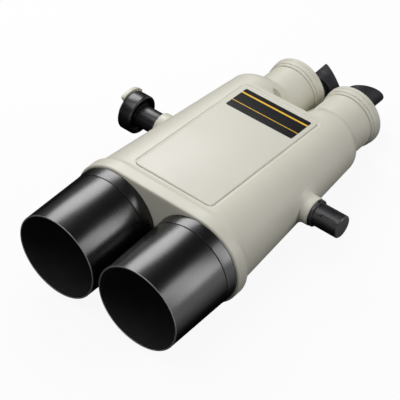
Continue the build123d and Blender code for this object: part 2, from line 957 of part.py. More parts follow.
for name, side in sides:
    eyepiece_axis = lengthwise(side * eyepiece_half, eyepiece_height)

    eyepiece_mount = turned(
        eyepiece_axis,
        (mount_front, mount_bore),
        (mount_front, mount_thread_radius),
        (drum_end, mount_thread_radius),
        (drum_end, mount_flange_radius),
        (flange_end, mount_flange_radius),
        (flange_end, mount_tube_radius),
        (mount_end, mount_tube_radius),
        (mount_end, mount_bore),
    )
    keep(eyepiece_mount, f"eyepiece_mount_{name}")

    with BuildPart() as focus_ring:
        with BuildSketch(across(ring_front, side * eyepiece_half, eyepiece_height)):
            Circle(focus_ring_radius)
            Circle(mount_tube_radius + running_clearance, mode=Mode.SUBTRACT)
            with PolarLocations(focus_ring_radius, focus_flutes):
                Circle(focus_flute_radius, mode=Mode.SUBTRACT)
        extrude(amount=-focus_ring_length)
    keep(focus_ring, f"focus_ring_{name}")

    eyepiece_barrel = turned(
        eyepiece_axis,
        (barrel_front, field_lens_radius + seat_clearance),
        (barrel_front, barrel_tube_radius),
        (head_front, barrel_tube_radius),
        (head_front, barrel_head_radius),
        (head_end, barrel_head_radius),
        (head_end, eye_lens_radius + seat_clearance),
        (eye_seat, eye_lens_radius + seat_clearance),
        (eye_seat, tube_bore),
        (field_seat, tube_bore),
        (field_seat, field_lens_radius + seat_clearance),
    )
    keep(eyepiece_barrel, f"eyepiece_barrel_{name}")

    field_lens = lens(
        eyepiece_axis,
        field_seat - field_lens_thickness,
        field_seat,
        field_lens_radius,
        field_lens_sag,
        field_lens_sag,
        field_lens_lip,
        field_lens_lip,
    )
    keep(field_lens, f"field_lens_{name}")

    eye_lens = lens(
        eyepiece_axis,
        eye_seat,
        eye_lens_rear,
        eye_lens_radius,
        eye_lens_sag,
        eye_lens_sag,
        eye_lens_lip,
        eye_ring_width,
    )
    keep(eye_lens, f"eye_lens_{name}")

    eye_lens_ring = sleeve(
        eyepiece_axis, eye_lens_rear, eye_ring_rear, eye_lens_radius, eye_lens_radius - eye_ring_width
    )
    keep(eye_lens_ring, f"eye_lens_ring_{name}")

    with BuildPart() as eyecup:
        with BuildSketch(eyepiece_axis):
            with BuildLine():
                Polyline(
                    (cup_front, cup_bore),
                    (cup_front, cup_root_radius),
                    (flare_front, cup_flare_radius),
                    (blank_end, blank_radius),
                    (blank_end, blank_radius - cup_wall),
                    (flare_front, cup_inner),
                    (head_end, cup_inner),
                    (head_end, cup_bore),
                    close=True,
                )
            make_face()
        revolve(axis=axis_of(eyepiece_axis))
        split(
            bisect_by=Plane(
                origin=(
                    side * (eyepiece_half - cup_nose_radius * wing_out),
                    nose_rim,
                    eyepiece_height + cup_nose_radius * wing_down,
                ),
                z_dir=(
                    -side * cup_wing_rise * wing_out,
                    cup_nose_radius + cup_wing_radius,
                    cup_wing_rise * wing_down,
                ),
            ),
            keep=Keep.BOTTOM,
        )
    keep(eyecup, f"eyecup_{name}")


# Trunnions, and the clamp knob on the right-hand one.
left_end = boss_face + trunnion_flange + left_journal
right_end = boss_face + right_journal
spigot_end = boss_face - trunnion_spigot_length + cover_clearance
knob_inner = right_end + end_play
knob_outer = knob_inner + knob_length
stud_nut_inner = knob_outer + end_play
stud_nut_outer = stud_nut_inner + stud_nut_thickness
stud_end = right_end - stud_depth
cap_recess = stud_nut_outer + end_play
knob_cap_outer = knob_outer + knob_cap_thickness
left_side = crosswise(1)
right_side = crosswise(-1)
keyway_normal = (0, -cos(radians(keyway_angle)), sin(radians(keyway_angle)))

with BuildPart() as trunnion_left:
    with BuildSketch(left_side):
        with BuildLine():
            Polyline(
                (spigot_end, 0),
                (spigot_end, trunnion_spigot_radius),
                (boss_face, trunnion_spigot_radius),
                (boss_face, trunnion_flange_radius),
                (boss_face + trunnion_flange, trunnion_flange_radius),
                (boss_face + trunnion_flange, journal_radius),
                (left_end - journal_chamfer, journal_radius),
                (left_end, journal_radius - journal_chamfer),
                (left_end, 0),
                close=True,
            )
        make_face()
    revolve(axis=axis_of(left_side))
    keyway_plane = Plane(origin=(0, 0, trunnion_height), x_dir=(1, 0, 0), z_dir=keyway_normal)
    with BuildSketch(keyway_plane.offset(journal_radius - keyway_depth)):
        with Locations((left_end - keyway_end - keyway_length / 2, 0)):
            SlotOverall(keyway_length, keyway_width)
    extrude(amount=keyway_width, mode=Mode.SUBTRACT)
keep(trunnion_left, "trunnion_left")

trunnion_right = turned(
    right_side,
    (spigot_end, 0),
    (spigot_end, trunnion_spigot_radius),
    (boss_face, trunnion_spigot_radius),
    (boss_face, journal_radius),
    (right_end - journal_chamfer, journal_radius),
    (right_end, journal_radius - journal_chamfer),
    (right_end, stud_radius + seat_clearance),
    (stud_end, stud_radius + seat_clearance),
    (stud_end, 0),
)
keep(trunnion_right, "trunnion_right")

clamp_stud = turned(
    right_side, (stud_end, 0), (stud_end, stud_radius), (stud_nut_outer, stud_radius), (stud_nut_outer, 0)
)
keep(clamp_stud, "clamp_stud")

stud_nut = sleeve(
    right_side, stud_nut_inner, stud_nut_outer, stud_nut_radius, stud_radius + seat_clearance
)
keep(stud_nut, "stud_nut")

with BuildPart() as clamp_knob:
    with BuildSketch(Plane.YZ.offset(-knob_inner)):
        with Locations((0, trunnion_height)):
            Circle(knob_radius)
    extrude(amount=-knob_length)
    fillet(clamp_knob.edges().filter_by(GeomType.CIRCLE), knob_round)
    with BuildSketch(Plane.YZ.offset(-knob_inner)):
        with Locations((0, trunnion_height)):
            Circle(knob_lip_radius)
            Circle(knob_hub_radius, mode=Mode.SUBTRACT)
    extrude(amount=-knob_dish, mode=Mode.SUBTRACT)
    with BuildSketch(Plane.YZ.offset(-knob_inner)):
        with Locations((0, trunnion_height)):
            Circle(stud_radius + running_clearance)
    extrude(amount=-knob_length, mode=Mode.SUBTRACT)
keep(clamp_knob, "clamp_knob")

# The cap covers the nut, and its tab stands out past the knob to show how far it is turned.
with BuildPart() as knob_cap:
    with BuildSketch(Plane.YZ.offset(-knob_outer)):
        with Locations((0, trunnion_height)):
            Circle(knob_cap_radius)
        with BuildLine():
            tab_arc = CenterArc((0, trunnion_height), knob_tab_radius, knob_tab_start, knob_tab_sweep)
            Polyline(tab_arc @ 1, (0, trunnion_height), tab_arc @ 0)
        make_face()
    extrude(amount=-knob_cap_thickness)
    fillet(knob_cap.edges().filter_by(Axis.X), knob_tab_corner)
    fillet(knob_cap.faces().sort_by(Axis.X)[0].edges(), knob_cap_round)
    with BuildSketch(Plane.YZ.offset(-knob_outer)):
        with Locations((0, trunnion_height)):
            Circle(stud_nut_radius + nut_recess_margin)
    extrude(amount=knob_outer - cap_recess, mode=Mode.SUBTRACT)
keep(knob_cap, "knob_cap")
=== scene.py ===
"""Looks of large trunnion-mounted binoculars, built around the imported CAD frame.

Sizes are in millimetres and become metres when a mesh is made. The objectives point to -Y, the
eyepieces to +Y, and +X is the user's left. An outline is a row of corners, each with a station
along the axis of its piece, a radius and, where the corner isn't sharp, a rounding.
"""

import logging
import math
from dataclasses import dataclass, replace
from enum import Enum
from typing import Callable, Iterator, Sequence

import bmesh
import bpy
from mathutils import Matrix, Vector


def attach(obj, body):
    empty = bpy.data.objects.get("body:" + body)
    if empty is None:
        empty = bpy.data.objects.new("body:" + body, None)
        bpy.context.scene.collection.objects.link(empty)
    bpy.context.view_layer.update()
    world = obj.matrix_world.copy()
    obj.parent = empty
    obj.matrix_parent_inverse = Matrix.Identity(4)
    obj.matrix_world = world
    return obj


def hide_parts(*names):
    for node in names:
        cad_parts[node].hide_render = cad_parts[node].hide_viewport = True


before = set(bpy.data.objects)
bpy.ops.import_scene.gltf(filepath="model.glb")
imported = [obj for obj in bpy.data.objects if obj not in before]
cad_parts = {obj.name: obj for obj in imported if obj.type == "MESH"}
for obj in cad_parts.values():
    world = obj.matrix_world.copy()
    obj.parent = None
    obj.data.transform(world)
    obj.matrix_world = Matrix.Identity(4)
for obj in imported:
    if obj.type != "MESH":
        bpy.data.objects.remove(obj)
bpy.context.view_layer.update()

log = logging.getLogger("binoculars")

MM = 0.001
WELD = 2e-6  # metres between vertices that are merged
NEAR = 1e-3  # how close to a plane a vertex is on it
LOOSE = 1e-2  # the same, for vertices that were moved often
CREASE = 32.0  # degrees
EASE_STEPS = 5
COARSE_STEPS = 96
TURN_STEPS = 128
FINE_STEPS = 160
OPTICAL_HEIGHT = 84.0
TRUNNION_HEIGHT = 86.0
OBJECTIVE_HALF = 79.3
TURRET_HALF = 57.8
TURRET_HEIGHT = 71.1
EYEPIECE_HALF = 33.533
EYEPIECE_HEIGHT = 59.264
TOP_HEIGHT = 153.025
TOP_SLOPE = math.atan(15.4 / 300.0)

Triple = tuple[float, float, float]
Pair = tuple[float, float]
Corner = tuple[float, ...]
Outline = tuple[Corner, ...]
Piece = bpy.types.Object
Material = bpy.types.Material
Node = bpy.types.Node
Socket = bpy.types.NodeSocket
Sockets = bpy.types.bpy_prop_collection


class Side(Enum):
    """User's left or right, with the sign of its X."""

    LEFT = 1
    RIGHT = -1

    @property
    def word(self) -> str:
        """Name of the side as the CAD nodes spell it."""
        return self.name.lower()


class Join(Enum):
    """What a boolean does with its tool."""

    ADD = "UNION"
    CUT = "DIFFERENCE"


@dataclass(frozen=True)
class Lathe:
    """Axis that a piece is turned about."""

    base: Triple
    along: Triple

    @classmethod
    def lengthwise(cls, x: float, z: float) -> "Lathe":
        """Axis along +Y through a place on X and Z."""
        return cls((x, 0.0, z), (0.0, 1.0, 0.0))

    @classmethod
    def crosswise(cls, side: Side) -> "Lathe":
        """Trunnion axis, running outwards on one side."""
        return cls((0.0, 0.0, TRUNNION_HEIGHT), (float(side.value), 0.0, 0.0))

    def at(self, station: float, radius: float) -> Vector:
        """Point above the axis at a station and a radius, in metres."""
        return (Vector(self.base) + Vector(self.along) * station + Vector((0, 0, radius))) * MM

    def away(self, place: Vector) -> float:
        """Distance of a place from a lengthwise axis."""
        return math.hypot(place.x - self.base[0], place.z - self.base[2])


def blend(start: float, end: float, share: float) -> float:
    """Number between two others."""
    return start + (end - start) * share


def eased(corners: Sequence[Corner]) -> list[Pair]:
    """Rounds each corner of an outline that gives a rounding.

    Args:
        corners: The corners, in order.

    Returns:
        Points of the rounded outline.
    """
    points: list[Pair] = []
    for index, (station, radius, *rounding) in enumerate(corners):
        if not any(rounding):
            points.append((station, radius))
            continue
        corner = Vector((station, radius))
        before = (Vector(corners[index - 1][:2]) - corner).normalized()
        after = (Vector(corners[(index + 1) % len(corners)][:2]) - corner).normalized()
        half = before.angle(after) / 2
        centre = corner + (before + after).normalized() * rounding[0] / math.sin(half)
        arm = corner + before * rounding[0] / math.tan(half) - centre
        sweep = math.pi - 2 * half
        if before.x * after.y - before.y * after.x > 0:
            sweep = -sweep
        for step in range(EASE_STEPS + 1):
            cosine = math.cos(sweep * step / EASE_STEPS)
            sine = math.sin(sweep * step / EASE_STEPS)
            x = centre.x + arm.x * cosine - arm.y * sine
            y = centre.y + arm.x * sine + arm.y * cosine
            points.append((x, y))
    return points


class Bench:
    """One mesh being modelled in edit mode."""

    def __init__(self, name: str) -> None:
        """Clears the selection, so that operators touch this piece alone."""
        self.name = name
        bpy.ops.object.select_all(action="DESELECT")
        self.piece: Piece | None = None

    def _adopt(self) -> "Bench":
        """Takes the primitive just added as this piece, in edit mode and selected.

        Returns:
            This bench.
        """
        self.piece = bpy.context.object
        self.piece.name = self.name
        self.piece.data.name = self.name
        bpy.ops.object.mode_set(mode="EDIT")
        bpy.ops.mesh.select_mode(type="VERT")
        return self.everything()

    def draw(self, places: Sequence[Vector], closed: bool = True) -> "Bench":
        """Starts from a line of vertices.

        Args:
            places: Points of the line, in metres.
            closed: Whether the line comes back to its start.

        Returns:
            This bench.
        """
        bpy.ops.mesh.primitive_plane_add(size=MM)
        self._adopt()
        bpy.ops.mesh.merge(type="CENTER")
        bpy.ops.transform.translate(value=places[0])
        stops = [*places, places[0]] if closed else places
        for start, end in zip(stops, stops[1:]):
            bpy.ops.mesh.extrude_vertices_move(TRANSFORM_OT_translate={"value": end - start})
        return self

    def cube(self, size: Triple, centre: Triple) -> "Bench":
        """Starts from a box.

        Args:
            size: Its size.
            centre: Its place.

        Returns:
            This bench.
        """
        bpy.ops.mesh.primitive_cube_add(size=1.0)
        self._adopt()
        bpy.ops.transform.resize(value=Vector(size) * MM)
        return self.move(centre)

    def spin(self, lathe: Lathe, steps: int) -> "Bench":
        """Turns all of the mesh once round an axis and welds it.

        Args:
            lathe: The axis.
            steps: Faces round the axis.

        Returns:
            This bench.
        """
        self.everything()
        bpy.ops.mesh.spin(
            steps=steps, angle=math.tau, center=lathe.at(0, 0), axis=Vector(lathe.along)
        )
        return self.weld()

    def merge(self) -> "Bench":
        """Merges doubles and leaves the whole mesh selected."""
        self.everything()
        bpy.ops.mesh.remove_doubles(threshold=WELD)
        return self

    def weld(self) -> "Bench":
        """Merges doubles, drops loose edges and points the faces outwards.

        Returns:
            This bench.
        """
        self.merge()
        bpy.ops.mesh.delete_loose()
        self.everything()
        bpy.ops.mesh.normals_make_consistent(inside=False)
        return self

    def everything(self) -> "Bench":
        """Selects the whole mesh."""
        bpy.ops.mesh.select_all(action="SELECT")
        return self

    def pick(self, test: Callable[[Vector], bool]) -> "Bench":
        """Selects the vertices whose place passes a test, and the edges between them."""
        return self._select("VERT", lambda vertex: test(vertex.co / MM))

    def pick_edges(self, test: Callable[[Vector, Vector], bool]) -> "Bench":
        """Selects the edges whose two ends pass a test."""
        return self._select("EDGE", lambda edge: test(*(end.co / MM for end in edge.verts)))

    def _select(self, mode: str, chosen: Callable[..., bool]) -> "Bench":
        """Selects the vertices or edges that pass a test.

        Args:
            mode: VERT or EDGE.
            chosen: Takes a vertex or an edge.

        Returns:
            This bench.
        """
        bpy.ops.mesh.select_mode(type=mode)
        bpy.ops.mesh.select_all(action="DESELECT")
        mesh = bmesh.from_edit_mesh(self.piece.data)
        for element in mesh.verts if mode == "VERT" else mesh.edges:
            element.select = chosen(element)
        mesh.select_flush_mode()
        bmesh.update_edit_mesh(self.piece.data)
        return self

    def move(self, by: Sequence[float]) -> "Bench":
        """Moves the selection."""
        bpy.ops.transform.translate(value=Vector(by) * MM)
        return self

    def resize(self, factors: Sequence[float], centre: Sequence[float]) -> "Bench":
        """Scales the selection about a centre."""
        bpy.ops.transform.resize(value=factors, center_override=Vector(centre) * MM)
        return self

    def extrude(self, by: Sequence[float]) -> "Bench":
        """Extrudes the selection."""
        shift = {"value": Vector(by) * MM}
        bpy.ops.mesh.extrude_region_move(TRANSFORM_OT_translate=shift)
        return self

    def bevel(self, width: float, segments: int) -> "Bench":
        """Rounds the selected edges."""
        bpy.ops.mesh.bevel(offset=width * MM, segments=segments, affect="EDGES")
        return self

    def fill(self) -> "Bench":
        """Closes the selected loop with a face."""
        bpy.ops.mesh.edge_face_add()
        return self

    def done(self, crease: float = CREASE) -> Piece:
        """Leaves edit mode and shades the piece smooth below a crease angle in degrees."""
        bpy.ops.object.mode_set(mode="OBJECT")
        return shaded(self.piece, crease)


def take_up(piece: Piece) -> None:
    """Makes one object the only selected and active one.

    Args:
        piece: The object.
    """
    bpy.ops.object.select_all(action="DESELECT")
    piece.select_set(True)
    bpy.context.view_layer.objects.active = piece


def shaded(piece: Piece, crease: float = CREASE) -> Piece:
    """Shades a piece smooth.

    Args:
        piece: The object.
        crease: Angle in degrees above which an edge stays sharp.

    Returns:
        The same object.
    """
    take_up(piece)
    bpy.ops.object.shade_smooth_by_angle(angle=math.radians(crease))
    return piece


def combined(piece: Piece, tool: Piece, join: Join) -> Piece:
    """Adds a tool to a piece or cuts it away, and removes the tool.

    Args:
        piece: The object that stays.
        tool: The object that is used up.
        join: Whether the tool is added or cut.

    Returns:
        The changed piece.
    """
    take_up(piece)
    boolean = piece.modifiers.new("join", "BOOLEAN")
    boolean.operation = join.value
    boolean.solver = "EXACT"
    boolean.object = tool
    bpy.ops.object.modifier_apply(modifier=boolean.name)
    bpy.data.objects.remove(tool, do_unlink=True)
    return piece


def tilted(piece: Piece, angle: float, height: float) -> Piece:
    """Tilts a piece about the X axis and lifts it, in its mesh.

    Args:
        piece: The object.
        angle: Tilt in radians.
        height: How far it is lifted.

    Returns:
        The same object, at the origin.
    """
    take_up(piece)
    piece.rotation_euler = (angle, 0, 0)
    piece.location = (0, 0, height * MM)
    bpy.ops.object.transform_apply(location=True, rotation=True, scale=True)
    return piece


def spun(
    name: str,
    lathe: Lathe,
    corners: Sequence[Corner],
    closed: bool = True,
    steps: int = TURN_STEPS,
) -> Bench:
    """Turns an outline about an axis.

    Args:
        name: Name of the piece.
        lathe: The axis.
        corners: The outline.
        closed: Whether the outline closes on itself; one that ends on the axis doesn't.
        steps: Faces round the axis.

    Returns:
        The bench, still in edit mode.
    """
    places = [lathe.at(*point) for point in eased(corners)]
    return Bench(name).draw(places, closed).spin(lathe, steps)


def turn(name: str, lathe: Lathe, corners: Sequence[Corner], **options: int) -> Piece:
    """Finishes a turned piece; its options are those of spun."""
    return spun(name, lathe, corners, **options).done()


def plug(name: str, lathe: Lathe, start: float, end: float, radius: float) -> Piece:
    """Plain round tool between two stations of an axis."""
    corners = ((start, 0.0), (start, radius), (end, radius), (end, 0.0))
    return turn(name, lathe, corners, closed=False)


def fitted(piece: Piece, body: str, slot: str, finish: Material | None, *nodes: str) -> None:
    """Dresses a finished piece and hangs it on its body.

    Args:
        piece: The object.
        body: CAD body that it moves with.
        slot: Material slot of the record; not used.
        finish: Material for all of it, or None where its faces have theirs.
        nodes: CAD nodes that it stands for.
    """
    if finish is not None:
        piece.data.materials.clear()
        piece.data.materials.append(finish)
    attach(piece, body)
    if nodes:
        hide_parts(*nodes)
    log.info("%s rides on %s", piece.name, body)


def paint_faces(piece: Piece, index: int, test: Callable[[Vector, Vector], bool]) -> None:
    """Gives the faces that pass a test another of the piece's materials.

    Args:
        piece: The object.
        index: Which of its materials.
        test: Takes a face's centre in millimetres and its normal.
    """
    for face in piece.data.polygons:
        if test(face.center / MM, face.normal):
            face.material_index = index


class Tree:
    """Short way to add and join shader nodes."""

    def __init__(self, tree: bpy.types.NodeTree) -> None:
        """Holds the node tree."""
        self.tree = tree

    def feed(self, node: Node, values: dict) -> Node:
        """Sets or links inputs of a node.

        Args:
            node: The node.
            values: A number, colour or socket for each input, by its name or place.

        Returns:
            The same node.
        """
        for key, value in values.items():
            socket = node.inputs[key]
            if isinstance(value, Socket):
                self.tree.links.new(value, socket)
            else:
                socket.default_value = (*value, 1.0) if isinstance(value, tuple) else value
        return node

    def add(self, kind: str, values: dict | None = None, **settings: object) -> Node:
        """Adds a node.

        Args:
            kind: Blender's name of the node type.
            values: What its inputs are fed.
            settings: Properties of the node.

        Returns:
            The new node.
        """
        node = self.tree.nodes.new(kind)
        for key, value in settings.items():
            setattr(node, key, value)
        return self.feed(node, values or {})

    def math(self, operation: str, *terms: float | Socket) -> Socket:
        """Result of a Math node on numbers or sockets."""
        return self.add("ShaderNodeMath", dict(enumerate(terms)), operation=operation).outputs[0]

    def mix(self, share: Socket, first: Triple | Socket, second: Triple) -> Socket:
        """Colour mixed of two by a share."""
        colours = {0: share, 6: first, 7: second}
        return self.add("ShaderNodeMix", colours, data_type="RGBA").outputs[2]

    def ramp(self, value: Socket, ends: Pair, low: float = 0.0) -> Socket:
        """Value carried from between two ends to between a low number and 1."""
        limits = {"Value": value, "From Min": ends[0], "From Max": ends[1], "To Min": low}
        return self.add("ShaderNodeMapRange", limits).outputs[0]

    def place(self, kind: str = "Object") -> Socket:
        """Coordinates of a kind."""
        return self.add("ShaderNodeTexCoord").outputs[kind]

    def axis(self, place: Socket, index: int) -> Socket:
        """One coordinate of a place."""
        return self.add("ShaderNodeSeparateXYZ", {0: place}).outputs[index]

    def effect(self, group: bpy.types.NodeTree, values: dict) -> Socket:
        """Output of a node group that is fed values."""
        return self.feed(self.add("ShaderNodeGroup", node_tree=group), values).outputs[0]

    def seen(self, path: Sockets) -> Socket:
        """Whether a ray of a Light Path comes from the camera or through glass."""
        return self.math("MAXIMUM", path["Is Camera Ray"], path["Is Transmission Ray"])


def blank(name: str) -> tuple[Material, Tree, Node]:
    """Makes a new material.

    Args:
        name: Name of the material.

    Returns:
        The material, its node tree and its shader.
    """
    material = bpy.data.materials.new(name)
    material.use_nodes = True
    return material, Tree(material.node_tree), material.node_tree.nodes["Principled BSDF"]


class Effects:
    """Shader node groups that several finishes share."""

    def __init__(self) -> None:
        """Builds each group once."""
        clouds = {"Detail": 4.0, "Roughness": 0.55}
        rubs = {"Detail": 6.0, "Roughness": 0.7, "Distortion": 1.2}
        self.mottle = self._patches("uneven_clouding", 12.0, "Value", clouds, (0.3, 0.7))
        self.grain = self._grain()
        self.lathe_marks = self._lathe_marks()
        self.scuffs = self._patches("light_rubs", 60.0, "Mask", rubs, (0.62, 0.78))

    @staticmethod
    def _open(
        name: str, inputs: dict[str, float | None], output: str
    ) -> tuple[Tree, Sockets]:
        """Starts a group with named sockets.

        Args:
            name: Name of the group.
            inputs: Default of each input; one that has none is a place.
            output: Name of the one value that it puts out.

        Returns:
            The group's tree, and the sockets that its inputs come from.
        """
        group = bpy.data.node_groups.new(name, "ShaderNodeTree")
        for label, default in inputs.items():
            kind = "NodeSocketVector" if default is None else "NodeSocketFloat"
            socket = group.interface.new_socket(name=label, in_out="INPUT", socket_type=kind)
            if default is not None:
                socket.default_value = default
        group.interface.new_socket(name=output, in_out="OUTPUT", socket_type="NodeSocketFloat")
        tree = Tree(group)
        return tree, tree.add("NodeGroupInput").outputs

    @staticmethod
    def _close(tree: Tree, value: Socket) -> bpy.types.NodeTree:
        """Puts out a group's value and gives the group."""
        tree.add("NodeGroupOutput", {0: value})
        return tree.tree

    def _patches(
        self, name: str, scale: float, output: str, noise: dict, ends: Pair
    ) -> bpy.types.NodeTree:
        """Builds uneven patches, from 0 to 1.

        Args:
            name: Name of the group.
            scale: Default scale.
            output: Name of its output.
            noise: Values of the noise.
            ends: Where the noise starts and where it is full.

        Returns:
            The group.
        """
        tree, source = self._open(name, {"Vector": None, "Scale": scale}, output)
        links = {"Vector": source["Vector"], "Scale": source["Scale"]}
        cloud = tree.add("ShaderNodeTexNoise", {**noise, **links})
        return self._close(tree, tree.ramp(cloud.outputs["Fac"], ends))

    def _grain(self) -> bpy.types.NodeTree:
        """Builds the fine even roughness of a sprayed, cast or moulded skin.

        Returns:
            The group, which puts out a height.
        """
        tree, source = self._open("fine_skin_grain", {"Vector": None, "Scale": 700.0}, "Height")
        links = {"Vector": source["Vector"], "Scale": source["Scale"]}
        peel = tree.add("ShaderNodeTexNoise", {"Detail": 2.0, "Roughness": 0.5, **links})
        pits = tree.add("ShaderNodeTexVoronoi", links, feature="SMOOTH_F1")
        depth = tree.math("MULTIPLY", pits.outputs["Distance"], 0.4)
        return self._close(tree, tree.math("ADD", peel.outputs["Fac"], depth))

    def _lathe_marks(self) -> bpy.types.NodeTree:
        """Builds the fine rings left by turning, along one coordinate.

        Returns:
            The group, which puts out a height.
        """
        inputs = {"Along": 0.0, "Rings per metre": 1800.0}
        tree, source = self._open("turning_rings", inputs, "Height")
        rings = tree.math("MULTIPLY", source["Along"], source["Rings per metre"])
        values = {"Scale": 1.0, "Detail": 3.0, "W": rings}
        fine = tree.add("ShaderNodeTexNoise", values, noise_dimensions="1D")
        return self._close(tree, fine.outputs["Fac"])


@dataclass(frozen=True)
class Finish:
    """Opaque finish with clouded colour, rubs and a fine skin; its depths are in metres."""

    name: str
    colour: Triple
    second: Triple
    roughness: Pair
    cloud_scale: float = 14.0
    grain_scale: float = 700.0
    grain_depth: float = 0.00003
    rings: float = 0.0
    ring_axis: int = 1
    ring_depth: float = 0.00001
    bump: float = 0.5
    rub_colour: Triple | None = None
    rub_share: float = 0.35
    metallic: float = 0.0
    specular: float = 0.5
    sheen: float = 0.0
    stripes: tuple[Pair, ...] = ()
    stripe_colour: Triple = (0.0, 0.0, 0.0)

    def make(self, effects: Effects) -> Material:
        """Builds the material.

        Args:
            effects: The shared node groups.

        Returns:
            The material.
        """
        material, tree, shader = blank(self.name)
        place = tree.place()
        cloud = tree.effect(effects.mottle, {"Scale": self.cloud_scale, "Vector": place})
        smooth, rough = self.roughness
        looks = {
            "Metallic": self.metallic,
            "Specular IOR Level": self.specular,
            "Sheen Weight": self.sheen,
            "Base Color": self._colour(tree, effects, place, cloud),
            "Roughness": tree.math("MULTIPLY_ADD", cloud, rough - smooth, smooth),
            "Normal": self._skin(tree, effects, place),
        }
        tree.feed(shader, looks)
        return material

    def _colour(self, tree: Tree, effects: Effects, place: Socket, cloud: Socket) -> Socket:
        """Clouded colour with its rubs and stripes.

        Args:
            tree: The material's tree.
            effects: The shared node groups.
            place: Object coordinates.
            cloud: Share of the second colour.

        Returns:
            The colour.
        """
        colour = tree.mix(cloud, self.colour, self.second)
        if self.rub_colour is not None:
            rubs = tree.effect(effects.scuffs, {"Vector": place})
            colour = tree.mix(tree.math("MULTIPLY", rubs, self.rub_share), colour, self.rub_colour)
        for middle, half in self.stripes:
            away = tree.math("SUBTRACT", tree.axis(place, 1), middle * MM)
            mask = tree.math("LESS_THAN", tree.math("ABSOLUTE", away), half * MM)
            colour = tree.mix(mask, colour, self.stripe_colour)
        return colour

    def _skin(self, tree: Tree, effects: Effects, place: Socket) -> Socket:
        """Normal of the fine skin, with its turning rings if it has any.

        Args:
            tree: The material's tree.
            effects: The shared node groups.
            place: Object coordinates.

        Returns:
            The normal.
        """
        grain = tree.effect(effects.grain, {"Scale": self.grain_scale, "Vector": place})
        depth = {"Strength": self.bump, "Distance": self.grain_depth, "Height": grain}
        skin = tree.add("ShaderNodeBump", depth).outputs[0]
        if self.rings > 0:
            along = tree.axis(place, self.ring_axis)
            values = {"Rings per metre": self.rings, "Along": along}
            marks = tree.effect(effects.lathe_marks, values)
            depth = {"Strength": self.bump, "Distance": self.ring_depth, "Height": marks}
            skin = tree.add("ShaderNodeBump", {**depth, "Normal": skin}).outputs[0]
        return skin


@dataclass(frozen=True)
class Glass:
    """Clear optical glass with a tinted coating."""

    name: str
    tint: Triple
    coat_tint: Triple
    roughness: float = 0.02
    ior: float = 1.52

    def make(self) -> Material:
        """Builds the material.

        Returns:
            The material.
        """
        material, tree, shader = blank(self.name)
        looks = {
            "Base Color": self.tint,
            "Roughness": self.roughness,
            "Transmission Weight": 1.0,
            "IOR": self.ior,
            "Specular Tint": self.coat_tint,
        }
        tree.feed(shader, looks)
        return material


